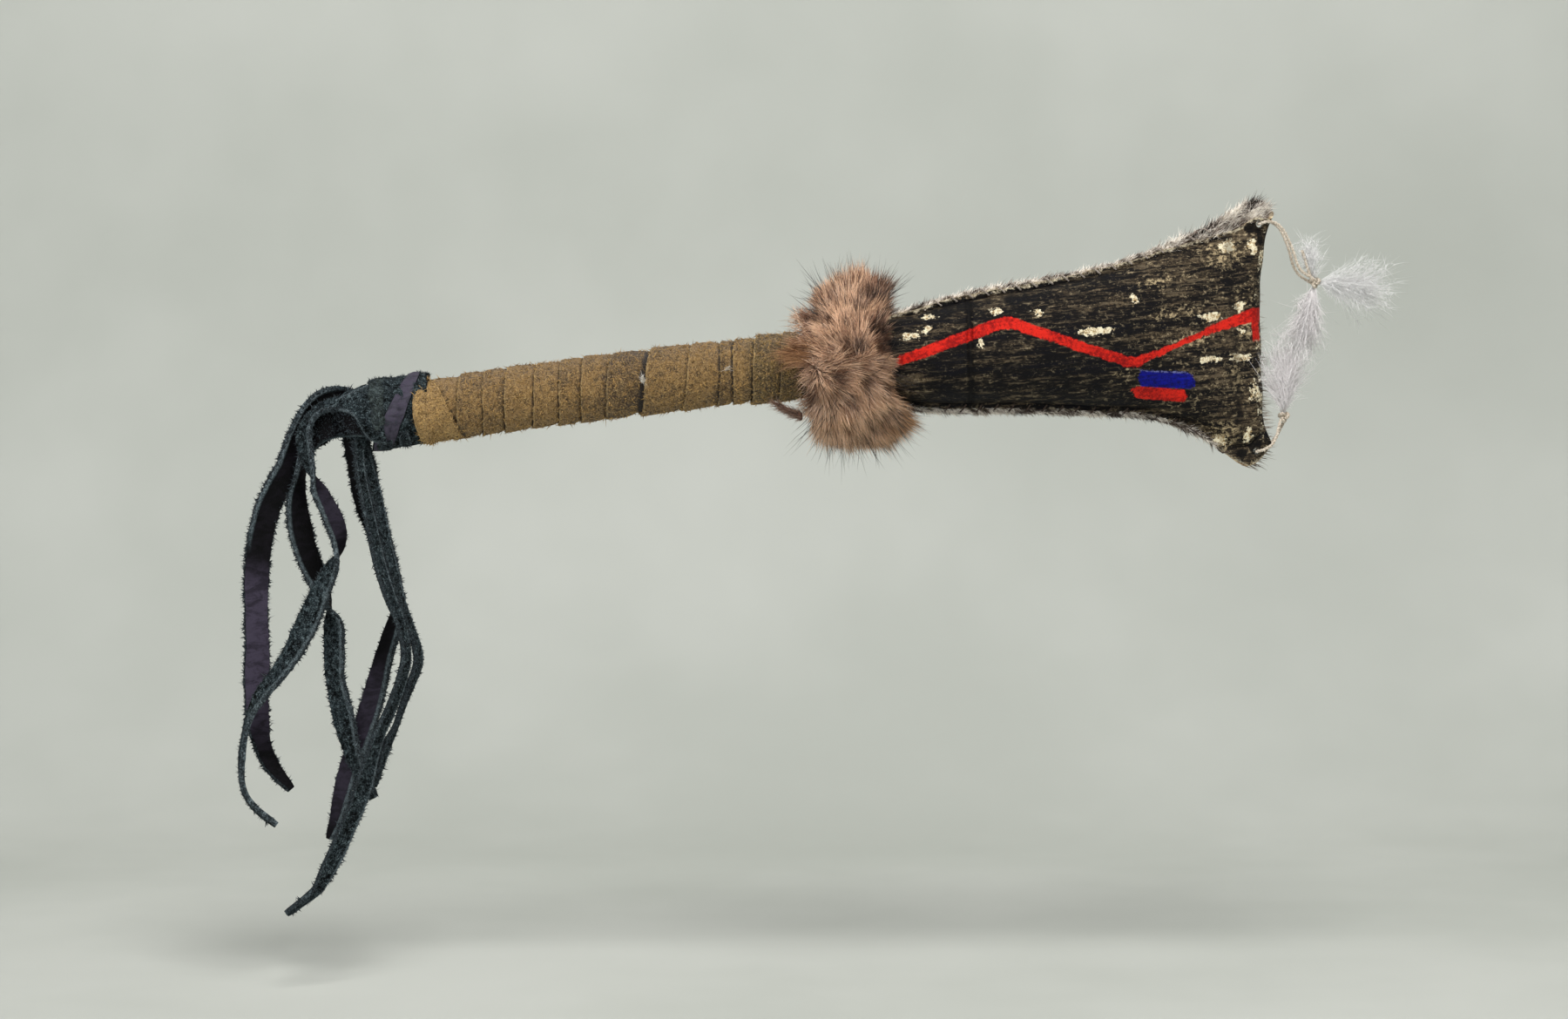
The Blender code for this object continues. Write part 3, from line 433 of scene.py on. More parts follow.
def tan_suede(name, dark, light):
    made = Finish(name, sheen_weight=0.15, sheen_roughness=0.5, specular_ior_level=0.2)
    place = made.place()
    seam, turn, edge = made.mark("seam"), made.mark("turn"), made.mark("edge")
    patches = made.grain(place, 150.0, 4.0, 0.6)
    nap = made.grain(place, 520.0, 6.0, 0.78, 0.8)
    fibre = made.grain(place, 950.0, 4.0, 0.75, 2.6)
    wrinkles = made.grain(made.stretched(place, (1.0, 0.35, 0.35)), 420.0, 4.0, 0.6, 0.8)
    near_fur = made.along(place, 0).from_to(47.0 * MM, 53.0 * MM)
    tone = nap * 0.6 + patches * 0.22 + turn * 0.18
    colour = made.mix(tone.from_to(0.42, 0.56), dark, light)
    # Painted shade: darker and more olive towards the fur, under its overhang
    shaded = made.mix(nap.from_to(0.4, 0.6), (52, 41, 17), (124, 102, 46))
    colour = made.mix(near_fur * 0.75, colour, shaded)
    colour = made.mix(wrinkles.from_to(0.42, 0.34) * 0.5, colour, (60, 41, 18))
    colour = made.mix(fibre.from_to(0.52, 0.60) * 0.75, colour, (214, 180, 122))
    colour = made.mix(fibre.from_to(0.47, 0.39) * 0.85, colour, (50, 34, 15))
    colour = made.mix(edge * nap.from_to(0.35, 0.6) * 0.55, colour, (210, 178, 120))
    # Painted shade: the seam mark darkens where a turn runs under the next, its hidden inside, and the flap's
    # shadow
    colour = made.mix(seam * 0.94, colour, (30, 19, 9))
    return made.finish(colour, 0.96, nap * 1.0 + fibre * 0.7 + wrinkles * 0.7, 1.6 * MM, 1.0)


def green_suede():
    made = Finish("green suede", specular_ior_level=0.08)
    place = made.place()
    smooth_side, edge, painted_sheen = made.mark("grain"), made.mark("edge"), made.mark("painted_sheen")
    nap = made.grain(place, 520.0, 6.0, 0.74)
    fibre = made.grain(place, 1150.0, 4.0, 0.8, 1.6)
    patches = made.grain(place, 90.0, 4.0, 0.6)
    pores = made.cells(place, 1500.0)
    creases = made.grain(made.stretched(place, (1.0, 1.0, 2.2)), 150.0, 5.0, 0.7, 0.6)
    napped = made.mix((nap * 0.65 + patches * 0.35).from_to(0.41, 0.60), (5, 8, 9), (36, 45, 49))
    napped = made.mix(fibre.from_to(0.50, 0.60) * nap.from_to(0.41, 0.57) * 0.95, napped, (110, 125, 129))
    napped = made.mix(fibre.from_to(0.46, 0.36) * 0.6, napped, (4, 7, 8))
    napped = made.mix(edge * (0.25 + 0.75 * fibre.from_to(0.42, 0.58)), napped, (138, 152, 158))
    skin = made.mix(creases.from_to(0.40, 0.66), (3, 3, 4), (15, 13, 18))
    # Painted sheen: the smooth side turns a lighter purple grey by the sheen mark, broken by creases
    skin = made.mix(painted_sheen * (0.45 + 0.55 * creases.from_to(0.36, 0.58)), skin, (70, 64, 80))
    skin = made.mix(edge * fibre.from_to(0.36, 0.54) * 0.9, skin, (104, 120, 124))
    colour = made.mix(smooth_side, napped, skin)
    colour = made.mix(made.mark("pale") * (0.3 + 0.7 * nap.from_to(0.4, 0.6)), colour, (92, 102, 98))
    colour = made.mix(made.mark("shadow") * 0.9, colour, (2, 3, 4))
    roughness = 0.95 - smooth_side * (0.45 - creases * 0.16)
    height = (1 - smooth_side) * (nap * 0.9 + fibre * 0.6) + smooth_side * (pores * 0.10 + creases * 0.25)
    return made.finish(colour, roughness, height, 0.9 * MM, 0.9)


def fibres(name, dark, light, tip):
    """Loose fibres, each of its own tone, which turn to one colour at their tips."""
    made = Finish(name)
    colour = made.mix(made.mark("tone"), dark, light)
    return made.finish(made.mix(made.mark("reach") * 0.6, colour, tip), 0.9)


def brown_fur():
    made = Finish("brown fur", sheen_weight=0.1, sheen_roughness=0.4)
    tone, reach = made.mark("tone"), made.mark("reach")
    root = made.mix(tone, (110, 86, 74), (208, 184, 166))
    middle = made.mix(tone, (132, 94, 72), (255, 226, 202))
    tip = made.mix(tone, (130, 80, 48), (250, 202, 158))
    colour = made.mix(reach.from_to(0.05, 0.45), root, middle)
    colour = made.mix(reach.from_to(0.5, 1.0), colour, tip)
    colour = made.mix(made.mark("amber"), colour, made.mix(tone, (108, 66, 32), (208, 154, 98)))
    # Darker by the shade mark: dark hair, and on the puffs painted shadow as well
    colour = made.mix(made.mark("shade"), colour, made.mix(tone, (40, 25, 18), (122, 82, 56)))
    return made.finish(colour, 0.6)


def guard_hair():
    made = Finish("guard hair")
    colour = made.mix(made.mark("tone"), (16, 12, 11), (58, 40, 30))
    return made.finish(colour, 0.45)


def mottled_hide(name, scale, detail, dark, light, roughness, depth):
    """Plain hide, clouded from dark to light."""
    made = Finish(name)
    tone = made.grain(made.place(), scale, detail, 0.7)
    return made.finish(made.mix(tone.from_to(0.35, 0.65), dark, light), roughness, tone, depth)


def coat_hair():
    """Short hair of the hide, grey with white and dark locks."""
    made = Finish("coat hair")
    tone, reach, shade = made.mark("tone"), made.mark("reach"), made.mark("shade")
    colour = made.mix(tone, (124, 104, 88), (255, 248, 236))
    colour = made.mix(reach.from_to(0.45, 0.0) * 0.5, colour, (132, 116, 102))
    colour = made.mix(shade, colour, made.mix(tone, (40, 31, 28), (122, 100, 86)))
    return made.finish(colour, 0.55)


def down(name, dark, light):
    made = Finish(name, sheen_weight=1.0, sheen_roughness=0.6, specular_ior_level=0.3)
    tone, reach = made.mark("tone"), made.mark("reach")
    colour = made.mix(tone, dark, light)
    return made.finish(made.mix(reach.from_to(0.3, 0.0) * 0.4, colour, dark), 0.8)


def twine_finish(name, dark, light):
    made = Finish(name)
    place = made.place()
    strands = made.grain(place, 1700.0, 4.0, 0.8, 1.0)
    dirt = made.grain(place, 160.0, 3.0, 0.6)
    colour = made.mix(strands.from_to(0.36, 0.64), dark, light)
    colour = made.mix(dirt.from_to(0.58, 0.74) * 0.45, colour, dark)
    return made.finish(colour, 0.9, strands, 0.4 * MM)


def raw_hide():
    made = Finish("raw hide")
    place = made.place()
    tone = made.grain(place, 340.0, 5.0, 0.7)
    fine = made.grain(place, 1400.0, 3.0, 0.7)
    colour = made.mix(tone.from_to(0.36, 0.62), (146, 116, 84), (226, 208, 172))
    colour = made.mix(fine.from_to(0.55, 0.75) * 0.6, colour, (72, 52, 38))
    return made.finish(colour, 0.75, tone + fine * 0.5, 0.4 * MM)


def peeled_wood():
    made = Finish("peeled wood")
    place = made.place()
    lines = made.grain(made.stretched(place, (18.0, 420.0, 420.0)), 1.0, 5.0, 0.65, 0.4)
    fine = made.grain(made.stretched(place, (60.0, 1600.0, 1600.0)), 1.0, 3.0, 0.7)
    colour = made.mix(lines.from_to(0.34, 0.66), (126, 88, 52), (196, 156, 108))
    colour = made.mix(fine.from_to(0.56, 0.76) * 0.6, colour, (92, 62, 36))
    return made.finish(colour, 0.65, lines * 0.7 + fine * 0.4, 0.3 * MM)


def river_stone():
    made = Finish("river stone")
    place = made.place()
    cloud = made.grain(place, 260.0, 5.0, 0.65)
    specks = made.cells(place, 1900.0)
    colour = made.mix(cloud.from_to(0.32, 0.68), (96, 90, 84), (158, 150, 140))
    colour = made.mix(specks.from_to(0.22, 0.08) * 0.8, colour, (48, 46, 46))
    return made.finish(colour, 0.5 + cloud * 0.2, cloud + specks * 0.2, 0.2 * MM)


PAINT_TURN = math.radians(5.2)
PAINT_REACH = 1.012
# The zigzag's middle line as (X, height), and half its width along it
ZIGZAG = (
    (103.7, -0.3), (143.5, 10.2), (147.5, 10.2), (188.8, -8.0), (192.2, -8.0), (225.0, 2.4), (236.2, 4.6),
)
ZIGZAG_HALF_WIDTHS = (
    (103.0, 1.3), (114.0, 2.2), (145.0, 2.0), (156.0, 2.1), (176.0, 1.9), (190.0, 2.0), (200.0, 1.3),
    (207.0, 0.9), (216.0, 1.1), (223.0, 1.6), (236.0, 2.4),
)
# The red along the fold: X, its lower and upper end, and half its width
SPUR = (237.4, -4.5, 4.5, 1.5)
# Each bar: X, height, half length, half height and turn
BLUE_BAR = (202.2, -15.4, 10.3, 3.0, math.radians(8.0))
RED_BAR = (199.9, -20.6, 10.0, 2.3, math.radians(9.5))
# Ends of the crease across the front, as (X, height)
CREASE = ((132.7, 21.0), (130.2, -17.0))
# The fold at the broad end: X where it lies furthest in, the height of that, and how it sweeps out
FOLD_EDGE = (236.2, -19.0, 0.0028)
# X over which the paint turns round the fold onto the back
PAINT_TURNS = (233.5, 236.0)
# Places where the paint has worn through to the cream hide: X, height, half length and half height
BARE_PATCHES = (
    (178.4, 4.4, 7.0, 1.4), (192.3, 14.6, 1.2, 1.9), (220.6, 5.6, 3.4, 1.8), (232.0, 8.2, 2.6, 2.4),
    (229.6, 30.4, 3.4, 2.6), (238.2, 29.3, 1.4, 3.3), (232.3, -0.4, 2.2, 1.2), (218.8, -9.7, 3.8, 1.5),
    (230.5, -10.1, 3.8, 1.3), (235.0, -22.0, 0.9, 5.0), (231.6, -39.0, 2.0, 3.0), (222.2, -40.2, 3.0, 2.0),
    (109.2, 8.9, 4.4, 1.1), (115.8, 10.4, 1.7, 1.6), (117.6, 14.8, 3.0, 0.9), (142.1, 14.6, 2.2, 1.0),
    (157.7, 13.2, 1.8, 1.3), (135.6, 3.8, 1.2, 1.7),
)
# Places where it has worn thin in fine speckles
THIN_PATCHES = (
    (209.0, 8.4, 11.0, 2.6), (229.0, -17.0, 2.6, 7.0), (223.0, -38.0, 9.0, 6.0), (228.0, 27.0, 9.0, 6.0),
    (186.6, -11.6, 4.4, 1.3), (233.0, 4.0, 4.0, 12.0), (213.0, -2.0, 9.0, 3.0), (203.0, 20.0, 9.0, 2.0),
)

# Painted shade: dark hollows beside the holes of the ears
EAR_HOLE_SHADE = (
    (240.2, 36.4, 3.4, 2.0), (242.0, 32.6, 1.0, 3.0), (234.0, -43.0, 2.4, 3.4), (229.0, -45.5, 2.0, 1.5),
)


def crease_at(z):
    """X of the crease at a height."""
    (top_x, top_z), (low_x, low_z) = CREASE
    return top_x + (low_x - top_x) * (top_z - z) / (top_z - low_z)


def painted_hide():
    """Black paint, brushed along the hide and worn, with a red zigzag and a blue and a red bar."""
    made = Finish("painted hide", specular_ior_level=0.14)
    place = made.place()
    x, depth, z = (made.along(place, axis) * 1000.0 for axis in range(3))
    x = (x - VIEW_CENTRE.x) * PAINT_REACH + VIEW_CENTRE.x
    rim = made.mark("rim")
    front = depth.from_to(-0.4, -1.0)
    painted = front.at_least(x.from_to(*PAINT_TURNS))
    brushed = PAINT_TURN * 0.4
    strokes = made.grain(made.stretched(place, (14.0, 14.0, 260.0), brushed), 1.0, 6.0, 0.7, 0.9)
    bristles = made.grain(made.stretched(place, (150.0, 150.0, 1100.0), brushed), 1.0, 5.0, 0.74)
    skin = made.grain(place, 800.0, 6.0, 0.76)
    blots = made.grain(made.stretched(place, (0.8, 1.0, 1.3)), 75.0, 5.0, 0.65)
    flecks = made.grain(made.stretched(place, (0.62, 1.0, 1.15)), 620.0, 5.0, 0.72, 0.5)
    jitter = (skin - 0.5) * 2.4

    # Black, brushed on and rubbed thin
    to_end = x.from_to(160.0, 232.0)
    near_fur = x.from_to(126.0, 104.0)
    # Darker towards the bottom, away from the broad end
    darker_low = z.from_to(4.0, -8.0) * (1 - to_end) * 0.025
    worn = strokes * 0.58 + bristles * 0.42 + (blots - 0.5) * 0.4
    worn = worn + to_end * 0.04 + near_fur * 0.03 - darker_low
    thin = worn.from_to(0.485, 0.62)
    speckle = (skin * 0.7 + bristles * 0.3).from_to(0.44, 0.56)
    colour = made.mix(worn.from_to(0.46, 0.40) * 0.6, (12, 10, 11), (9, 10, 20))
    colour = made.mix(thin * (0.2 + 0.8 * speckle), colour, (100, 86, 66))
    colour = made.mix(bristles.from_to(0.54, 0.63) * (0.25 + 0.55 * thin), colour, (96, 86, 70))
    fine = flecks * 0.55 + skin * 0.45
    specks = fine.from_to(0.54, 0.62) * (0.28 + 0.5 * thin + 0.25 * to_end)
    colour = made.mix(specks, colour, (172, 156, 126))

    # Cream hide, where the black has gone
    cream = made.mix(skin.from_to(0.40, 0.56), (172, 144, 98), (247, 238, 208))
    torn = made.grain(place, 300.0, 4.0, 0.66)
    shift = made.grain(made.stretched(place, (0.9, 0.7, 1.2)), 420.0, 4.0, 0.7, 0.4)
    torn_x, torn_z = x + (torn - 0.5) * 13.0, z + (shift - 0.5) * 6.0
    edge_x, edge_z, sweep = FOLD_EDGE
    to_edge = x - edge_x - (z - edge_z) * (z - edge_z) * sweep
    close = to_edge.from_to(-2.8, -0.6) * (1.55 + blots) - 2.0
    for at_x, at_z, length, height in BARE_PATCHES:
        far_x = (torn_x - at_x) / length
        far_z = (torn_z - at_z + (x - at_x) * (math.tan(PAINT_TURN) * 0.6)) / height
        close = close.at_least(1.0 - far_x * far_x - far_z * far_z)
    bare = (close + (skin - 0.5) * 0.7 + (flecks - 0.5) * 1.3).from_to(0.10, 0.26)
    smeared = to_end * 0.25
    for at_x, at_z, length, height in THIN_PATCHES:
        far_x, far_z = (torn_x - at_x) / length, (torn_z - at_z) / height
        smeared = smeared.at_least((far_x * far_x + far_z * far_z).from_to(1.6, 0.0))
    rubbed = (fine + smeared * 0.05).from_to(0.53, 0.62) * smeared * 0.85
    colour = made.mix(rubbed, colour, (196, 176, 138))
    colour = made.mix(bare * painted, colour, cream)
    fold_line = abs(x - crease_at(z) + jitter * 0.5).from_to(1.5, 0.3)
    colour = made.mix(fold_line * 0.8, colour, (7, 6, 8))
    # Painted shade: a dark band down the front where the fold at the broad end begins to round over
    painted_fold_shade = abs(x - 229.4 - z * 0.03 + (torn - 0.5) * 5.0).from_to(2.2, 0.6)
    colour = made.mix(painted_fold_shade * 0.55, colour, (14, 11, 11))

    # Red zigzag, and a blue and a red bar
    def through(stations):
        """Height at x of the broken line through stations."""
        height = stations[0][1]
        for (x0, h0), (x1, h1) in zip(stations, stations[1:]):
            height = (x - x0).at_least(0.0).at_most(x1 - x0) * ((h1 - h0) / (x1 - x0)) + height
        return height

    line, half = through(ZIGZAG), through(ZIGZAG_HALF_WIDTHS)
    wavy = (blots - 0.5) * 3.0
    red = half - abs(z - line + wavy * 0.5) + jitter * 0.6 + (torn - 0.5) * 2.2
    red = red.from_to(-0.3, 0.3)
    red = red * (x + jitter * 1.6).from_to(ZIGZAG[0][0] - 0.6, ZIGZAG[0][0] + 0.6)
    spur_x, spur_low, spur_high, spur_half = SPUR
    spur = (spur_half - abs(x - spur_x) + jitter * 0.3).from_to(-0.2, 0.3)
    spur = spur * (z + jitter).from_to(spur_low - 0.8, spur_low + 0.8)
    red = red.at_least(spur * z.from_to(spur_high + 1.0, spur_high))

    def bar(at_x, at_z, length, height, turn):
        drop = z - at_z + (x - at_x) * math.tan(turn)
        bevel = (drop / height) * (drop / height) * 1.3
        ends = (length - bevel - abs(x - at_x) + jitter * 1.1 + (torn - 0.5) * 6.0).from_to(-0.4, 0.4)
        return ends * (height - abs(drop) + jitter * 0.4 + (shift - 0.5) * 1.6).from_to(-0.3, 0.3), drop

    red_bar, _ = bar(*RED_BAR)
    blue_bar, blue_drop = bar(*BLUE_BAR)
    red = red.at_least(red_bar)
    red_tone = made.mix((blots * 0.4 + skin * 0.6).from_to(0.42, 0.56), (146, 14, 12), (222, 38, 24))
    red_thin = (bristles * 0.4 + skin * 0.6).from_to(0.34, 0.44)
    colour = made.mix(red * front * (0.3 + 0.7 * red_thin), colour, red_tone)
    blue_tone = made.mix((bristles * 0.4 + skin * 0.6).from_to(0.38, 0.62), (4, 5, 74), (12, 20, 150))
    colour = made.mix(blue_bar * front, colour, blue_tone)
    worn_edge = blue_bar * front * (blue_drop + jitter * 0.3).from_to(2.2, 2.9)
    colour = made.mix(worn_edge * skin.from_to(0.4, 0.6) * 0.45, colour, (168, 174, 206))

    # Painted shade at the holes of the ears, and the hide's raw lip and back
    for at_x, at_z, length, height in EAR_HOLE_SHADE:
        far_x, far_z = (x - at_x) / length, (z - at_z) / height
        hollow = (far_x * far_x + far_z * far_z + jitter * 0.4).from_to(1.4, 0.7)
        colour = made.mix(hollow * 0.9, colour, (7, 6, 6))
    above = z.from_to(-2.0, 2.0)
    lip = (rim + (torn - 0.5) * 5.0 + (blots - 0.5) * 3.0).from_to(1.1, 0.4)
    lip = lip * (flecks * 0.6 + skin * 0.4).from_to(0.40, 0.54)
    cloud = skin * 0.5 + blots * 0.5
    lip_tone = made.mix(cloud.from_to(0.40, 0.58), (120, 102, 80), (232, 220, 190))
    colour = made.mix(lip * front * (0.4 + 0.55 * above), colour, lip_tone)
    behind = made.mix(cloud.from_to(0.36, 0.64), (70, 60, 56), (134, 120, 112))
    colour = made.mix(painted, behind, colour)
    roughness = 0.66 + bare * 0.2 - red * 0.12
    height = strokes * 0.4 + bristles * 0.4 + skin * 0.8 - bare * 0.4 - fold_line * 1.2
    return made.finish(colour, roughness, height, 0.9 * MM, 0.9)


# Making


def solo(item):
    bpy.ops.object.select_all(action="DESELECT")
    item.select_set(True)
    bpy.context.view_layer.objects.active = item


def mend(item, *steps):
    """Takes a piece through some mesh steps, each with its settings, and turns its faces outward."""
    solo(item)
    bpy.ops.object.mode_set(mode="EDIT")
    bpy.ops.mesh.select_all(action="SELECT")
    for step, settings in steps:
        step(**settings)
    bpy.ops.mesh.normals_make_consistent(inside=False)
    bpy.ops.object.mode_set(mode="OBJECT")


def soften(item, angle=SOFT_ANGLE):
    """Shades a piece smooth, apart from edges sharper than angle."""
    solo(item)
    bpy.ops.object.shade_smooth_by_angle(angle=angle)
    return item


def add_marks(item, marks):
    for name, values in marks.items():
        layer = item.data.attributes.new(name, "FLOAT", "POINT")
        layer.data.foreach_set("value", np.asarray(values, np.float32))


def sheet_of(name, across, along, place, marks=None):
    """A grid whose points go where place(u, v) says, in millimetres."""
    bpy.ops.object.select_all(action="DESELECT")
    bpy.ops.mesh.primitive_grid_add(x_subdivisions=across, y_subdivisions=along, size=1.0)
    item = bpy.context.object
    item.name = item.data.name = name
    spots = [(round(v.co.x + 0.5, 6), round(v.co.y + 0.5, 6)) for v in item.data.vertices]
    for vertex, (u, v) in zip(item.data.vertices, spots):
        vertex.co = place(u, v) * MM
    add_marks(item, {key: [mark(u, v) for u, v in spots] for key, mark in (marks or {}).items()})
    return item


def tube_of(name, across, along, place, marks=None, ring=False):
    """A closed skin: u runs round it and v along it. Its ends are filled, or joined in a ring."""
    item = sheet_of(name, across, along, place, marks)
    join = (bpy.ops.mesh.remove_doubles, {"threshold": 1e-6})
    fill = (bpy.ops.mesh.fill_holes, {"sides": 0})
    mend(item, *([join] if ring else [join, fill]))
    return soften(item)


def give_wall(item, thickness, offset, raw=True):
    """Gives a sheet its thickness. Its cut edge takes the second finish if it is raw."""
    solo(item)
    wall = item.modifiers.new("wall", "SOLIDIFY")
    wall.thickness = thickness * MM
    wall.offset = offset
    wall.material_offset_rim = 1 if raw else 0
    bpy.ops.object.modifier_apply(modifier="wall")
    mend(item)
    soften(item)


def dress(item, material, slot, body, *nodes):
    """Gives a piece its finish, the body that it rides on and the nodes that it stands for."""
    if material is not None:
        item.data.materials.clear()
        item.data.materials.append(material)
    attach(item, body)
    if nodes:
        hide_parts(*nodes)
    return item


HAIR_TAPER = 0.55


def hair_shape(cuts):
    """One hair, three-sided and one unit tall: its points, its triangles and its map."""
    bpy.ops.object.select_all(action="DESELECT")
    bpy.ops.mesh.primitive_cone_add(vertices=3, radius1=1.0, radius2=0.0, depth=1.0)
    item = bpy.context.object
    bpy.ops.object.mode_set(mode="EDIT")
    for cut in cuts:
        bpy.ops.mesh.select_all(action="SELECT")
        bpy.ops.mesh.bisect(plane_co=(0.0, 0.0, cut - 0.5), plane_no=(0.0, 0.0, 1.0))
    bpy.ops.mesh.select_all(action="SELECT")
    bpy.ops.mesh.quads_convert_to_tris()
    bpy.ops.mesh.normals_make_consistent(inside=False)
    bpy.ops.object.mode_set(mode="OBJECT")
    points = np.array([vertex.co for vertex in item.data.vertices])
    height = points[:, 2] + 0.5
    angle = np.arctan2(points[:, 1], points[:, 0])
    radius = np.clip(1 - height, 0, 1) ** HAIR_TAPER
    shape = np.stack([radius * np.cos(angle), radius * np.sin(angle), height], axis=1)
    faces = np.array([list(face.vertices) for face in item.data.polygons])
    side = np.round((angle - angle.min()) / (2 * math.pi / 3)) % 3
    places = []
    for face in faces:
        turns = side[face].copy()
        tall = height[face]
        tip = tall > 0.999
        if (tall < 0.001).all():
            places.append([(0.02, 0.0), (0.5, 0.05), (0.98, 0.0)])
            continue
        seen = set(turns[~tip])
        if seen == {0.0, 2.0}:
            turns[turns == 0.0] = 3.0
        turns[tip] = turns[~tip].mean()
        places.append([(turn / 3, 0.08 + 0.92 * t) for turn, t in zip(turns, tall)])
    bpy.data.objects.remove(item)
    return shape, faces, np.array(places)


HAIR = hair_shape((0.33, 0.68))
FIBRE = hair_shape((0.5,))


def hairs(name, shape, roots, ways, bends, lengths, widths, marks):
    """One piece made of many hairs. Roots are in millimetres. Each hair leaves its root along its way
    and bends off it, and carries its own marks from root to tip."""
    points, faces, places = shape
    count = len(roots)
    ways = unit(ways)
    upright = np.abs(ways[:, 2:3]) >= 0.9
    first = unit(np.cross(ways, np.where(upright, [[1.0, 0.0, 0.0]], [[0.0, 0.0, 1.0]])))
    second = np.cross(ways, first)
    tall = points[:, 2]
    spine = ways[:, None, :] * tall[None, :, None] + bends[:, None, :] * (tall ** 2)[None, :, None]
    skin = first[:, None, :] * points[None, :, 0, None] + second[:, None, :] * points[None, :, 1, None]
    place = roots[:, None, :] + spine * lengths[:, None, None] + skin * (widths / 2)[:, None, None]
    mesh = bpy.data.meshes.new(name)
    mesh.vertices.add(count * len(points))
    mesh.vertices.foreach_set("co", (place * MM).astype(np.float32).ravel())
    corners = (faces[None] + (np.arange(count) * len(points))[:, None, None]).ravel()
    mesh.loops.add(len(corners))
    mesh.loops.foreach_set("vertex_index", corners.astype(np.int32))
    mesh.polygons.add(count * len(faces))
    mesh.polygons.foreach_set("loop_start", np.arange(0, len(corners), 3, dtype=np.int32))
    mesh.polygons.foreach_set("use_smooth", np.ones(count * len(faces), bool))
    mesh.update(calc_edges=True)
    rows = math.ceil(math.sqrt(count))
    cell = np.stack([np.arange(count) % rows, np.arange(count) // rows], axis=1)
    spread = (cell[:, None, None, :] + 0.08 + places[None] * 0.84) / rows
    mesh.uv_layers.new(name="OFBake").uv.foreach_set("vector", spread.astype(np.float32).ravel())
    item = bpy.data.objects.new(name, mesh)
    bpy.context.collection.objects.link(item)
    each = {key: np.repeat(values, len(points)) for key, values in marks.items()}
    add_marks(item, {**each, "reach": np.tile(tall, count)})
    return item


def drawn_hairs(name, shape, roots, ways, bend, lengths, widths, draw, power=1.0, **marks):
    """Hairs with a bend, length, width and tone drawn for each. A power over 1 makes more of them dark."""
    count = len(roots)
    bends = draw.normal(0, bend, (count, 3))
    lengths, widths = draw.uniform(*lengths, count), draw.uniform(*widths, count)
    marks["tone"] = draw.random(count) ** power
    return hairs(name, shape, roots, ways, bends, lengths, widths, marks)


def skin_points(item, count, draw):
    """Random places all over a piece, in millimetres, and the way that its skin faces there."""
    def read(rows, key, kind):
        values = np.empty(len(rows) * 3, kind)
        rows.foreach_get(key, values)
        return values.reshape(-1, 3)

    mesh = item.data
    mesh.calc_loop_triangles()
    corners = read(mesh.loop_triangles, "vertices", np.int32)
    spots = read(mesh.vertices, "co", np.float32) / MM
    facing = read(mesh.vertices, "normal", np.float32)
    a, b, c = (spots[corners[:, i]] for i in range(3))
    size = np.linalg.norm(np.cross(b - a, c - a), axis=1)
    pick = draw.choice(len(corners), count, p=size / size.sum())
    share = np.sort(draw.random((count, 2)), axis=1)
    weights = np.stack([share[:, 0], share[:, 1] - share[:, 0], 1 - share[:, 1]], axis=1)[:, :, None]
    places = (spots[corners[pick]] * weights).sum(axis=1)
    ways = (facing[corners[pick]] * weights).sum(axis=1)
    return places, unit(ways)


def off_centre(places):
    """How far places are from the centre line."""
    return np.hypot(places[:, 1], places[:, 2] - np.array([bow(x) for x in places[:, 0]]))


def unit(rows):
    return rows / np.linalg.norm(rows, axis=1, keepdims=True)


def lumps(places, size, seed):
    """Smooth noise at many places, as three numbers from -1 to 1 each."""
    offsets = ((seed, 0.0, 0.0), (0.0, seed + 31.0, 0.0), (7.0, 0.0, seed + 57.0))
    offsets = [Vector(shift) for shift in offsets]
    return np.array([[noise.noise(Vector(p) / size + shift) for shift in offsets] for p in places])


# Fringe


def strip_section():
    """Round a strip: (across from -1 to 1, side 1 napped or -1 smooth)."""
    flat = (-0.96, -0.8, -0.62, -0.3, 0.0, 0.3, 0.62, 0.8, 0.96)
    napped = [(a, 1.0) for a in flat]
    plain = [(a, -b) for a, b in napped[::-1]]
    return napped + [(1.0, 0.5), (1.0, -0.5)] + plain + [(-1.0, -0.5), (-1.0, 0.5)]


def strip_frames(index):
    """Along a strip: its middle, half its width across and its facing."""
    layer, route = STRIPS[index]
    depth = math.copysign(STRIP_FIRST_LAYER + STRIP_LAYER_STEP * (abs(layer) - 1), layer)
    marks = [FRINGE_ROOT + Vector((x, depth, z)) for x, z, _ in route]
    path = smooth_path(marks, STRIP_SPACING)
    runs = [0.0]
    for before, point in zip(path, path[1:]):
        runs.append(runs[-1] + (point - before).length)
    turns = []
    for mark, (_, _, turn) in zip(marks, route):
        nearest = min(range(len(path)), key=lambda i: (path[i] - mark).length)
        turns.append((runs[nearest], turn))
    frames = []
    for i, (point, run) in enumerate(zip(path, runs)):
        turn = math.radians(smooth(turns, run))
        tangent = tangent_at(path, i)
        side = Vector((-tangent.z, 0.0, tangent.x))
        taper = min(1.0, (runs[-1] - run) / STRIP_TAPER)
        half = STRIP_WIDTH / 2 * (STRIP_TIP_SHARE + (1 - STRIP_TIP_SHARE) * math.sqrt(taper))
        half *= STRIP_FULLNESS[index] * (1 + 0.07 * rough(point, 12.0, index))
        across = (side * math.cos(turn) + BACK * (0.45 * math.sin(turn))) * half
        facing = side * math.sin(turn) - BACK * math.cos(turn)
        frames.append((point, across, facing))
    return frames


def root_share(index, height, a):
    """How much broader a strip is at a height, on the side that a is on."""
    side, more = STRIP_ROOTS.get(index, (1, 0.0))
    return 1 + more * eased(height - FRINGE_ROOT.z, *STRIP_ROOT_SPAN) if a * side > 0 else 1.0


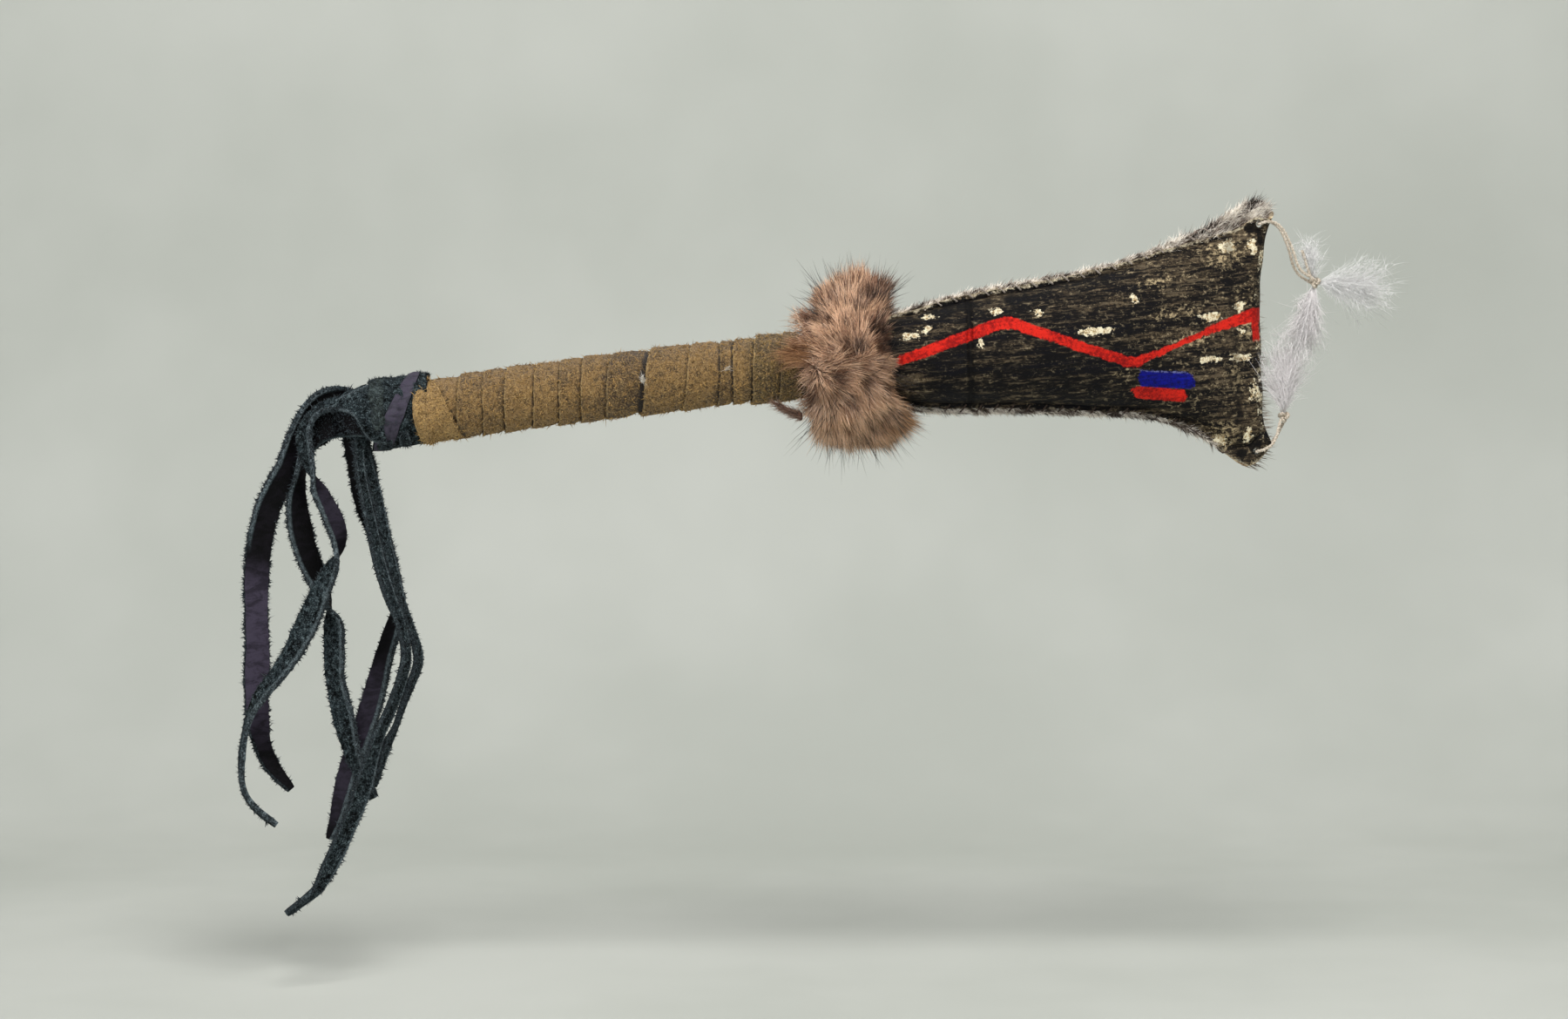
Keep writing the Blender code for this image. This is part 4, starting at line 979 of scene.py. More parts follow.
def strip_skin(index, frames):
    """The strip itself, with marks for its smooth side, its curled edge and its painted sheen."""
    section = strip_section()
    last = len(frames) - 1

    def spot(u):
        return section[round(u * len(section)) % len(section)]

    def drop(v):
        return frames[round(v * last)][0].z - FRINGE_ROOT.z

    def place(u, v):
        point, across, facing = frames[round(v * last)]
        a, b = spot(u)
        ragged = 0.13 * rough((v * 420, a * 2.0, index), 1.0, 3.0) if abs(a) > 0.9 else 0.0
        cup = (0.16 + 0.3 * rough(point, 22.0, index + 9.0)) * (a * a - 0.4)
        worn = 0.12 * rough(point + across * a, 2.2, index)
        reach = a * root_share(index, point.z, a) + math.copysign(ragged, a)
        return point + across * reach + facing * (b * STRIP_THICKNESS / 2 + cup + worn)

    # Painted sheen on the smooth side, between the heights given for the strip
    def painted_sheen(_, v):
        most, top, low = STRIP_PAINTED_SHEEN.get(index, (0.0, 0.0, 0.0))
        return most * eased(drop(v), top + 8.0, top - 8.0) * eased(drop(v), low - 8.0, low + 8.0)

    def curl(v):
        end = STRIP_CURL_ENDS.get(index, -400.0)
        return eased(v * last * STRIP_SPACING, 8.0, 18.0) * eased(drop(v), end - 6.0, end + 6.0)

    def edge(u, v):
        a, b = spot(u)
        if abs(b) < 0.9:
            return curl(v) * (0.8 if a * STRIP_CURLED[index] > 0 else 0.3)
        return 0.4 * curl(v) if a * STRIP_CURLED[index] > 0.75 else 0.0

    def grain(u, v):
        a, b = spot(u)
        if b > -0.9:
            return 0.0
        return 1.0 if a * STRIP_CURLED[index] < 0.75 else 1 - curl(v)

    marks = {"grain": grain, "edge": edge, "painted_sheen": painted_sheen}
    return tube_of(f"suede_strip_{index}", len(section), last, place, marks)


def strip_fuzz(index, frames):
    """Loose fibres, most of them along the strip's edges, where some are torn spikes."""
    draw = np.random.default_rng(100 + index)
    count = STRIP_FIBRES
    pick = draw.integers(1, len(frames) - 1, count)
    points, across, facing = (np.array([f[k][:] for f in frames])[pick] for k in range(3))
    line = [f[0] for f in frames]
    along = np.array([tangent_at(line, i)[:] for i in range(len(line))])[pick]
    on_edge = draw.random(count) < 0.75
    where = np.where(on_edge, np.sign(draw.random(count) - 0.5), draw.uniform(-0.95, 0.95, count))
    height = np.where(on_edge, draw.uniform(-0.7, 1.0, count), 0.95) * STRIP_THICKNESS / 2
    shares = np.array([root_share(index, z, a) for z, a in zip(points[:, 2], where)])
    roots = points + across * (where * shares)[:, None] + facing * height[:, None]
    roots = roots + along * draw.uniform(-0.8, 0.8, count)[:, None]
    outward = unit(across) * np.where(on_edge, where, 0.0)[:, None]
    ways = outward * 0.8 + facing * np.where(on_edge, 0.15, 0.40)[:, None]
    ways = ways + draw.normal(0, 0.5, (count, 3))
    lengths = np.where(on_edge, draw.uniform(0.4, 1.5, count), draw.uniform(0.4, 1.0, count))
    spikes = on_edge & (draw.random(count) < 0.32)
    widths = np.where(spikes, draw.uniform(0.5, 0.9, count), draw.uniform(0.2, 0.42, count))
    bends = draw.normal(0, 0.4, (count, 3))
    marks = {"tone": np.where(spikes, 0.0, draw.random(count) ** 2.0)}
    return hairs(f"suede_strip_{index}_fuzz", FIBRE, roots, ways, bends, lengths, widths, marks)


def fringe_strip(index, suede, fuzz):
    frames = strip_frames(index)
    body = f"strip_{index}"
    strip = dress(strip_skin(index, frames), suede, "green_suede", body, f"fringe_strip_{index}")
    loose = dress(strip_fuzz(index, frames), fuzz, "green_suede", body)
    path = [point * MM for point, _, _ in frames]
    path_length(path)


# Handle


BAND_TOP = (-1.0, -0.96, -0.88, -0.72, -0.5, -0.25, 0.0, 0.25, 0.5, 0.66, 0.78, 0.87, 0.94, 1.0)
BAND_LOOP = [(a, 1.0) for a in BAND_TOP] + [(a, -1.0) for a in (1.0, 0.33, -0.33, -1.0)]


def band_spot(u):
    """Round a band: (across from -1 to 1, side 1 outer or -1 inner)."""
    return BAND_LOOP[round(u * len(BAND_LOOP)) % len(BAND_LOOP)]


def wound_band(
    name, turns, per_turn, middle, half_width, inner, tuck, thick, lap, ragged, seed,
    tone=lambda t: 0.0, lumpy=1.0, rise=0.0, cut=None, edge=1.0,
):
    """A flat band wound round the handle. middle(t), half_width(t), inner(t), tuck(t) and tone(t) give it
    after t turns. Its edge towards the butt lies on top of the turn before, which dips under it by tuck.
    cut(x, angle) says where it lies in the shadow of another piece."""

    def place(u, v):
        a, b = band_spot(u)
        turn = v * turns
        angle = 2 * math.pi * turn
        side = 1.0 if abs(a) > 0.95 else 0.0
        wander = rough((turn * 20.0, a * 3.0, seed), 1.0, seed) * 0.6
        wander = ragged * (wander + rough((turn * 75.0, a, seed), 1.0, seed) * 0.6 * side)
        half = half_width(turn)
        x = middle(turn) + a * half + wander
        dip = 0.65 * eased(half * (1 - a), tuck(turn) + 1.1, tuck(turn) + 0.1)
        crown = 0.22 * (1 - a * a) - (0.12 if a < -0.98 else 0.0)
        spot = (x, math.cos(angle) * GRIP_RADIUS, math.sin(angle) * GRIP_RADIUS)
        uneven = lumpy * (0.28 * rough(spot, 5.0, seed) + 0.14 * rough(spot, 1.7, seed))
        height = inner(turn) + lap * (1 - a) / 2 + (thick + crown + uneven - dip if b > 0 else 0.0)
        return around(x, angle, height, rise=rise)

    # The seam mark is painted shade: 1 on the hidden inside, where the edge dips under the next turn, and in
    # cut's shadow
    def seam(u, v):
        a, b = band_spot(u)
        if b < 0:
            return 1.0
        turn = v * turns
        if cut and cut(middle(turn) + a * half_width(turn), 2 * math.pi * turn):
            return 1.0
        tucked = eased(half_width(turn) * (1 - a), tuck(turn) + 0.5, tuck(turn) + 0.1)
        return max(tucked, 0.25 if a < -0.98 else 0.0)

    def over_edge(u, _):
        a, b = band_spot(u)
        return edge if a < -0.9 and b > 0 else 0.0

    marks = {"seam": seam, "edge": over_edge, "turn": lambda _, v: tone(v * turns)}
    return tube_of(name, len(BAND_LOOP), round(turns * per_turn), place, marks)


def flap_edge(v):
    """X of the flap's edge towards the head, from its hidden end to its tip."""
    return -54.4 - 10.4 * v - 3.0 * eased(v, 0.8, 1.0)


def beside_flap(x, angle):
    """Whether a place on the wrap lies close beside the flap, in its painted shadow."""
    v = (math.degrees(angle) % 360 - FLAP_START) / FLAP_SWEEP
    return 0.0 < v < 1.0 and 0.0 < x - flap_edge(v) < FLAP_SHADOW


def wrap_band():
    """The wound strip of the handle."""
    edges = WRAP_EDGES
    last = len(edges) - 1

    def stepped(values, turn):
        """The value of the turn that is seen at the front, easing into the next one behind."""
        t = min(max(turn - AT_FRONT, 0.0), last - 1e-6)
        k = int(t)
        after = values[min(k + 1, last - 1)]
        return values[k] + (after - values[k]) * eased(t - k, 0.25, 0.75)

    def edge_at(turn):
        t = min(max(turn, 0.0), last - 1e-6)
        k = int(t)
        return edges[k] + (edges[k + 1] - edges[k]) * (t - k)

    def left(t):
        return max(edges[0] + 0.3, edge_at(t - AT_FRONT))

    def right(t):
        return min(edges[-1], edge_at(t + 1 - AT_FRONT) + WRAP_UNDER)

    return wound_band(
        "suede_wrap", last + 0.5, 88, thick=WRAP_THICK, lap=WRAP_LAP, ragged=0.45, seed=2.0, cut=beside_flap,
        middle=lambda t: (left(t) + right(t)) / 2,
        half_width=lambda t: (right(t) - left(t)) / 2,
        inner=lambda t: WRAP_INNER + stepped(WRAP_LIFTS, t),
        tuck=lambda t: WRAP_UNDER + stepped(WRAP_GAPS, t),
        tone=lambda t: stepped(WRAP_TONES, t),
    )


def wrap_flap(suede, cut_and_shaded_suede):
    """The loose end of the wrap, which lies over its first turns."""

    def place(u, v):
        angle = math.radians(FLAP_START + FLAP_SWEEP * v)
        past = v - FLAP_LOW_AT
        rise = 6.0 * (past / (1 - FLAP_LOW_AT)) ** 2 if past > 0 else 7.2 * (past / FLAP_LOW_AT) ** 2
        low = FLAP_LOW + rise
        high = flap_edge(v)
        ragged = 0.3 * rough((u * 8.0, v * 40.0, 3.0), 1.0)
        x = low + (high - low) * u + ragged
        curl = 0.5 * eased(u, 0.12, 0.0) + 0.5 * eased(min(v, 1 - v), 0.05, 0.0)
        spot = (x, math.cos(angle) * GRIP_RADIUS, math.sin(angle) * GRIP_RADIUS)
        uneven = 0.2 * rough(spot, 4.0, 5.0)
        hold = math.sin(math.pi * v) ** 1.3
        lift = -0.3 - 1.2 * eased(v, 0.2, 0.0) + hold * (1.1 + 2.5 * eased(x, -66.0, -69.5))
        return around(x, angle, WRAP_INNER + WRAP_THICK + WRAP_LAP + lift + uneven - curl)

    flap = sheet_of("suede_wrap_flap", 30, 56, place, {"turn": lambda u, v: 0.9})
    flap.data.materials.append(suede)
    # The cut edge's darker finish: a cut edge, and painted shade along the flap's edge
    flap.data.materials.append(cut_and_shaded_suede)
    give_wall(flap, 1.2, -1.0)
    return dress(flap, None, "tan_suede", GRIP)


def wrap_fuzz(name, piece, count, finish, draw):
    """Fibres that lie on the wrap's nap."""
    roots, ways = skin_points(piece, count, draw)
    keep = (off_centre(roots) > WRAP_INNER + 1.2) & (roots[:, 0] > -72.0)
    roots, ways = roots[keep], ways[keep]
    count = len(roots)
    lying = draw.normal(0, 1.0, (count, 3))
    lying -= ways * (lying * ways).sum(axis=1, keepdims=True) * 0.8
    loose = hairs(
        name, FIBRE, roots, ways * 0.2 + lying, draw.normal(0, 0.4, (count, 3)),
        draw.uniform(0.6, 1.9, count), draw.uniform(0.22, 0.42, count),
        {"tone": np.round(draw.random(count)) * 0.7 + draw.random(count) * 0.3},
    )
    dress(loose, finish, "tan_suede", GRIP)


def wrap_lint(draw):
    """Two bits of pale lint caught on the front of the wrap."""
    finish = fibres("lint", (206, 196, 176), (244, 240, 230), (250, 248, 242))
    count, first = 90, 66
    spots = [around(x, math.radians(turn), WRAP_INNER + 2.2)[:] for x, turn in ((11.4, 277.0), (42.3, 280.0))]
    roots = np.array(spots)[(np.arange(count) >= first).astype(int)]
    roots = roots + draw.normal(0, 0.5, (count, 3)) * np.array([[0.7, 0.2, 1.2]])
    ways = draw.normal(0, 0.7, (count, 3)) + np.array([[0.0, -0.5, 0.0]])
    loose = drawn_hairs("suede_wrap_lint", FIBRE, roots, ways, 0.6, (0.8, 2.4), (0.12, 0.2), draw)
    dress(loose, finish, "tan_suede", GRIP)


def handle_wrap(suede, pale_suede, cut_and_shaded_suede, fuzz, pale_fuzz):
    wrap = dress(wrap_band(), suede, "tan_suede", GRIP, "handle_wrap")
    flap = wrap_flap(pale_suede, cut_and_shaded_suede)
    draw = np.random.default_rng(7)
    wrap_fuzz("suede_wrap_fuzz", wrap, 15000, fuzz, draw)
    wrap_fuzz("suede_flap_fuzz", flap, 2600, pale_fuzz, draw)
    wrap_lint(draw)


def ring_band(name, middle, lean, half, inner, thick, skin, seed, pale):
    """A strip bound once round the butt, leaning along it."""

    def place(u, v):
        a, b = band_spot(u)
        angle = 2 * math.pi * v
        edge = 1.0 if abs(a) > 0.9 else 0.0
        turn = Vector((math.cos(angle), math.sin(angle), 0.0))
        loose = 1 - 0.75 * skin
        wander = 0.4 * loose * rough(turn * 3.0 + UP * a, 1.0, seed)
        wander += 0.35 * loose * edge * rough(turn * 13.0 + UP * a, 1.0, seed)
        broader = 0.4 * skin * math.cos(angle - math.radians(235))
        width = half * (1 + 0.22 * rough(turn * 2.2, 1.0, seed + 4.0) + broader)
        x = middle + lean * math.cos(angle) + a * width + wander
        crown = 0.4 * (1 - a * a) - (0.3 if abs(a) > 0.97 else 0.0)
        uneven = (1.0 - 0.8 * skin) * rough(turn * 2.6 + UP * a * 1.2, 1.0, seed + 8.0)
        uneven += (0.25 - 0.17 * skin) * rough((x, turn.x * 13, turn.y * 13), 1.6, seed)
        return around(x, angle, inner + (thick + crown + uneven if b > 0 else 0.0), rise=1.5)

    def at_edge(u, least):
        return abs(band_spot(u)[0]) > least

    marks = {
        "grain": lambda u, v: 0.0 if at_edge(u, 0.9) or band_spot(u)[1] < 0 else skin,
        "edge": lambda u, v: 0.25 if at_edge(u, 0.95) else 0.0,
        # Painted sheen over the smooth side of a smooth ring
        "painted_sheen": lambda u, v: 0.9 * skin,
        "pale": lambda u, v: pale,
        "shadow": lambda u, v: 1.0 if at_edge(u, 0.9) else 0.0,
    }
    return tube_of(name, len(BAND_LOOP), 150, place, marks, ring=True)


def suede_fuzz(piece, count, least_radius, finish, draw):
    """Loose fibres on the outside of a piece of the binding."""
    roots, ways = skin_points(piece, count, draw)
    keep = off_centre(roots) > least_radius
    roots, ways = roots[keep], ways[keep]
    ways = ways * 0.5 + draw.normal(0, 0.45, roots.shape)
    name = piece.name + "_fuzz"
    loose = drawn_hairs(name, FIBRE, roots, ways, 0.4, (0.4, 1.3), (0.2, 0.4), draw, 1.6)
    dress(loose, finish, "green_suede", GRIP)


# The root cover as seen from the front: its upper and lower edge and the line of its fold, as (X, Z), and
# how far it stands out
ROOT_TOP = (
    (-113.0, -8.0), (-110.0, -2.2), (-107.0, 1.2), (-104.0, 3.2), (-99.5, 4.7), (-92.0, 7.4), (-88.0, 8.6),
    (-84.0, 8.6),
)
ROOT_LOW = (
    (-113.0, -14.5), (-110.0, -11.8), (-106.0, -10.0), (-100.0, -9.3), (-92.0, -9.6), (-88.0, -12.0),
    (-84.0, -13.4),
)
ROOT_FOLD = (
    (-113.0, -6.0), (-110.0, -1.6), (-107.0, 0.4), (-102.7, 0.8), (-98.4, 0.3), (-95.6, -0.8), (-93.7, -2.8),
    (-92.5, -5.5), (-90.5, -9.6), (-88.0, -12.6), (-84.0, -14.0),
)
ROOT_REACH = (
    (-113.0, 3.9), (-104.0, 5.0), (-102.0, 6.4), (-99.0, 10.2), (-96.0, 11.9), (-93.0, 12.2), (-86.0, 12.3),
    (-84.0, 12.3),
)


def root_cover(name, side, suede):
    """Broad root of the fringe. It comes out from under the binding with its napped side out, and folds
    back below to show its smooth side where the strips begin."""

    def spot(u, v):
        x = ROOT_TOP[-1][0] + (ROOT_TOP[0][0] - ROOT_TOP[-1][0]) * u
        low, top = smooth(ROOT_LOW, x), smooth(ROOT_TOP, x)
        z = low + (top - low) * v
        return x, z, z - smooth(ROOT_FOLD, x)

    def place(u, v):
        x, z, above = spot(u, v)
        bulge = math.sqrt(max(0.12, 1 - ((z - bow(x)) / 14.0) ** 2))
        y = smooth(ROOT_REACH, x) * bulge - 1.3 * eased(above, 0.5, -0.9)
        folds = 0.3 * rough((x, side, z), 4.5, 6.0) + 0.16 * rough((x, side, z), 1.6, 8.0)
        rim = eased(min(v, 1 - v), 0.05, 0.0)
        ragged = 0.3 * rough((x * 3, side, z * 3), 2.0, 2.0) * rim
        return Vector((x + ragged, side * (y + folds - 0.6 * rim), z + ragged))

    def edge(u, v):
        above = spot(u, v)[2]
        return max(0.9 * eased(abs(above - 0.2), 0.7, 0.1), 0.8 * eased(min(v, 1 - v), 0.06, 0.0))

    marks = {"grain": lambda u, v: eased(spot(u, v)[2], -0.1, -0.6), "edge": edge}
    cover = sheet_of(name, 80, 64, place, marks)
    cover.data.materials.append(suede)
    give_wall(cover, 1.0, 0.0, raw=False)
    return dress(cover, suede, "green_suede", GRIP)


def tucked_end(name, x, angle, length, lean, suede):
    """A cut end of the binding that pokes out from under a turn."""

    def place(u, v):
        width = 2.6 * math.sqrt(max(0.05, 1 - (2 * v - 1) ** 4)) * (1 - 0.35 * v)
        at = x + lean * v + width * (2 * u - 1) + 0.3 * rough((u * 4, v * 6, x), 1.0)
        lift = 12.1 + 0.9 * math.sin(math.pi * v) + 0.4 * rough((u * 3, v * 5, x), 1.0, 4.0)
        return around(at, angle + length * v, lift, rise=1.2)

    end = sheet_of(name, 12, 16, place, {"edge": lambda u, v: 0.6 * eased(min(u, 1 - u), 0.2, 0.0)})
    end.data.materials.append(suede)
    give_wall(end, 1.3, 0.0, raw=False)
    return dress(end, suede, "green_suede", GRIP)


def gathered_roots():
    """The folded suede inside the binding and behind it, down to where the strips begin."""
    stations = (0.0, 0.45, 0.56, 0.9, 1.0)
    reach = (BINDING_END, BINDING_START - 0.3, TONGUE_ROOT, TONGUE_TIP, -101.4)
    tall = (SLEEVE_RADIUS, SLEEVE_RADIUS, 9.4, 6.2, 3.0)
    wide = (SLEEVE_RADIUS, SLEEVE_RADIUS, 3.6, 3.1, 1.4)
    rise = ((0.0, 0.0), (0.45, 0.3), (0.56, 3.8), (1.0, 4.0))

    def place(u, v):
        angle = 2 * math.pi * u
        x, up, across = (smooth(tuple(zip(stations, row)), v) for row in (reach, tall, wide))
        spot = around(x, angle, up, across, smooth(rise, v))
        folds = 0.0 if v < 0.44 else 0.5 * rough(spot, 4.0, 6.0) + 0.25 * rough(spot, 1.6, 8.0)
        return spot + Vector((0.0, math.sin(angle), math.cos(angle))) * folds

    return tube_of("gathered_roots", 56, 60, place)


def butt_binding(suede, fuzz):
    draw = np.random.default_rng(21)
    start, end, half = BINDING_START + 3.6, BINDING_END - 3.0, 3.7
    binding = wound_band(
        "butt_winding", 4.0, 90, thick=0.8, lap=0.6, ragged=0.8, seed=11.0, lumpy=1.3, rise=1.3, edge=0.1,
        middle=lambda t: start + min(max((t - 0.5) / 3.0, 0.0), 1.0) * (end - start),
        half_width=lambda t: half, inner=lambda t: SLEEVE_RADIUS + CLEARANCE, tuck=lambda t: 1.0,
    )
    dress(binding, suede, "green_suede", GRIP, "butt_binding")
    over = SLEEVE_RADIUS + 0.3
    # Middle, lean, half width, inner radius, thickness, smooth side, seed and paleness of each
    turns = {
        "butt_turn_end": (-85.6, 0.6, 2.9, over + 0.2, 1.2, 0.0, 23.0, 0.4),
        "butt_cross_under": (-75.6, -3.6, 3.2, over - 0.2, 1.1, 0.0, 17.0, 0.0),
        "butt_cross_smooth": (-79.2, 7.8, 3.0, over + 0.9, 0.7, 1.0, 13.0, 0.12),
        "butt_cross_napped": (-70.6, 1.1, 2.8, over + 0.1, 0.8, 0.0, 29.0, 0.05),
    }
    for name, turn in turns.items():
        ring = dress(ring_band(name, *turn), suede, "green_suede", GRIP)
        _, _, _, inner, thick, skin, _, _ = turn
        if not skin:
            suede_fuzz(ring, 1500, inner + thick * 0.6, fuzz, draw)
    suede_fuzz(binding, 3600, SLEEVE_RADIUS + 1.2, fuzz, draw)
    ends = (
        tucked_end("butt_end_low", -86.4, math.radians(196), math.radians(34), 3.0, suede),
        tucked_end("butt_end_right", -78.4, math.radians(192), math.radians(44), 1.0, suede),
    )
    for tucked in ends:
        suede_fuzz(tucked, 320, 0.0, fuzz, draw)
    dress(gathered_roots(), suede, "green_suede", GRIP, "fringe_gather")
    for label, side in (("front", -1.0), ("back", 1.0)):
        suede_fuzz(root_cover(f"root_cover_{label}", side, suede), 2200, 0.0, fuzz, draw)


# Head


def with_neck(stations, extra):
    start = NECK_RADIUS + extra
    return ((NECK_START, start), (NECK_START + NECK_LENGTH, start + NECK_SWELL), *stations)


TOP_EDGE = with_neck(HEAD_TOP, NECK_FLANGE)
BOTTOM_EDGE = with_neck(HEAD_BOTTOM, NECK_FLANGE)
DEPTH = with_neck(HEAD_DEPTH, 0.0)
FLANGE = ((NECK_START, NECK_FLANGE), (NECK_START + NECK_LENGTH, NECK_FLANGE), *SEAM_FLANGE)


def hide_height(x, v):
    """Height of the hide from the centre line: flange, hollow and flange from its lower edge up."""
    top, bottom, flange = smooth(TOP_EDGE, x), -smooth(BOTTOM_EDGE, x), smooth(FLANGE, x)
    if v <= FLANGE_SHARE:
        return bottom + flange * v / FLANGE_SHARE
    if v >= 1 - FLANGE_SHARE:
        return top - flange * (1 - v) / FLANGE_SHARE
    share = (v - FLANGE_SHARE) / (1 - 2 * FLANGE_SHARE)
    high, low = top - flange, bottom + flange
    return (high + low) / 2 - (high - low) / 2 * math.cos(math.pi * share)


def hide_bulge(v):
    """How full the hollow is at a row: 0 along the flanges and 1 in the middle."""
    if v <= FLANGE_SHARE or v >= 1 - FLANGE_SHARE:
        return 0.0
    return math.sin(math.pi * (v - FLANGE_SHARE) / (1 - 2 * FLANGE_SHARE))


@functools.cache
def hide_row(v):
    """X where a row's fold begins to round over, and the radius of its fold."""
    fold = HEAD_FOLD[2][1]
    for _ in range(8):
        fold = smooth(HEAD_FOLD, hide_height(fold, v))
    round_from = fold - hide_depth(fold, v)
    return round_from, hide_depth(round_from, v)


def hide_depth(x, v):
    """How far the hide's middle surface lies in front of or behind the seams."""
    flat = (SEAM_SLIT + HIDE_THICKNESS) / 2
    return flat + (smooth(DEPTH, x) - flat) * hide_bulge(v)


def hide_edge(u, v, x):
    """How far into its flange a point of the hide is, from 0 to 1, and how far short the panel stops."""
    to_edge = max(0.0, abs(v - 0.5) * 2 - (1 - 2 * FLANGE_SHARE)) / (2 * FLANGE_SHARE)
    drop = smooth(TOP_DROP if v > 0.5 else BOTTOM_DROP, x)
    return to_edge, BACK_DROP + (drop - BACK_DROP) * min(1.0, max(0.0, (0.5 - u) / 0.05))


def fold_turn(u):
    """How far round the fold a point is, from 0 at the front to pi at the back, or None if it isn't there."""
    if FRONT_SHARE < u < 1 - FRONT_SHARE:
        return math.pi * (u - FRONT_SHARE) / (1 - 2 * FRONT_SHARE)
    return None


def hide_x(u, v):
    round_from, radius = hide_row(v)
    turn = fold_turn(u)
    if turn is not None:
        return round_from + radius * math.sin(turn)
    share = min(u, 1 - u) / FRONT_SHARE
    return NECK_START + (round_from - NECK_START) * (1 - (1 - share) ** 1.25)


def hide_rim(u, v):
    """Distance from the cut edge of the hide, in millimetres."""
    x = hide_x(u, v)
    to_edge, drop = hide_edge(u, v, x)
    width = max(0.4, smooth(FLANGE, x) - drop)
    inner = 0.0
    if to_edge == 0.0:
        line = 1 - FLANGE_SHARE if v > 0.5 else FLANGE_SHARE
        inner = abs(hide_height(x, v) - hide_height(x, line))
    return (1 - to_edge) * width + inner


def hide_place(u, v):
    """The hide's middle surface, from the neck along the front, round the fold and back."""
    x = hide_x(u, v)
    turn = fold_turn(u)
    out = math.copysign(1.0, u - 0.5)
    y = out * hide_depth(x, v) if turn is None else -hide_row(v)[1] * math.cos(turn)
    spot = Vector((x, y, bow(x) + hide_height(x, v)))
    dents = 0.9 * rough(spot, 34.0, 1.0) + 0.40 * rough(spot, 11.0, 2.0) + 0.14 * rough(spot, 3.0, 3.0)
    pinch = -0.9 * math.exp(-((x - crease_at(spot.z)) / 1.3) ** 2) if u < 0.5 else 0.0
    near_fold = max(0.0, 1 - abs(u - 0.5) / 0.1)
    spot.y += out * (dents * (1 - near_fold) + pinch) * min(1.0, hide_bulge(v) * 1.6)
    spot.x += near_fold * 0.7 * rough(spot, 9.0, 4.0)
    to_edge, drop = hide_edge(u, v, x)
    along_edge = (x, 0.0, v * 9.0)
    ripple = 0.5 * rough(along_edge, 6.5, 5.0 + out) + 0.3 * rough(along_edge, 2.4, 7.0 + out)
    spot.z += math.copysign(1.0, v - 0.5) * to_edge * (ripple - drop)
    spot.y += to_edge * 0.3 * rough((x, v * 5.0, 0.0), 8.0, 9.0)
    return spot


def ear_hole(spot):
    """Where the hole of an ear is, from its X and its height over the centre line."""
    return Vector((spot[0], 0.0, bow(spot[0]) + spot[1]))


def head_hide(paint, raw):
    hide = sheet_of("painted_hide", 250, 72, hide_place, {"rim": hide_rim})
    mend(hide)
    hide.data.materials.append(paint)
    hide.data.materials.append(raw)
    wall = hide.modifiers.new("wall", "SOLIDIFY")
    wall.thickness = HIDE_THICKNESS * MM
    wall.offset = 0.0
    wall.material_offset = 1
    wall.material_offset_rim = 1
    wall.use_flip_normals = hide_faces_in(hide)
    bpy.ops.object.modifier_apply(modifier="wall")
    for name, spot in (("upper", UPPER_HOLE), ("lower", LOWER_HOLE)):
        bpy.ops.mesh.primitive_cylinder_add(
            vertices=20, radius=EAR_HOLE_RADIUS * MM, depth=20.0 * MM,
            location=ear_hole(spot) * MM, rotation=(math.pi / 2, 0.0, 0.0),
        )
        punch = bpy.context.object
        solo(hide)
        cut = hide.modifiers.new(name, "BOOLEAN")
        cut.operation = "DIFFERENCE"
        cut.solver = "EXACT"
        cut.object = punch
        bpy.ops.object.modifier_apply(modifier=name)
        bpy.data.objects.remove(punch)
    return dress(soften(hide, math.radians(45.0)), None, "painted_hide", GRIP, "head_hide")


def hide_faces_in(hide):
    """Whether most of the sheet's faces point into the hollow."""
    votes = sum(face.normal.y * face.center.y for face in hide.data.polygons)
    return votes < 0


def seam_point(x, side, inset=0.0):
    """A point on the upper seam, side 1, or the lower one, side -1, inset from its edge."""
    edge = smooth(TOP_EDGE, x) if side > 0 else -smooth(BOTTOM_EDGE, x)
    return Vector((x, 0.0, bow(x) + edge - side * inset))


def seam_lacing(name, side, finish, node):
    """Thread whipped over a seam."""
    radius = THREAD_DIAMETER / 2
    face = (SEAM_SLIT + HIDE_THICKNESS) / 2 + HIDE_THICKNESS / 2
    over = STITCH_EASE + radius
    arc = [(share, face * deep + over * out, over * lift) for share, deep, out, lift in STITCH_ARC]
    arc += [(1 - share, -depth, lift) for share, depth, lift in arc[::-1]]
    pitch = (SEAM_END - SEAM_START) / STITCHES
    points = []
    for i in range(STITCHES + 1):
        x = SEAM_START + pitch * i
        hole = seam_point(x, side, STITCH_INSET + BACK_DROP)
        points += [hole + Vector((0.0, depth, 0.0)) for depth in (-face - over, 0.0, face + over)]
        if i < STITCHES:
            points += [
                seam_point(x + pitch * share, side, BACK_DROP - lift) + Vector((0.0, depth, 0.0))
                for share, depth, lift in arc
            ]
    path = smooth_path(points, 0.7)
    twisted_cord(name, path, THREAD_DIAMETER, 2.2, finish, "lacing_thread", GRIP, node)


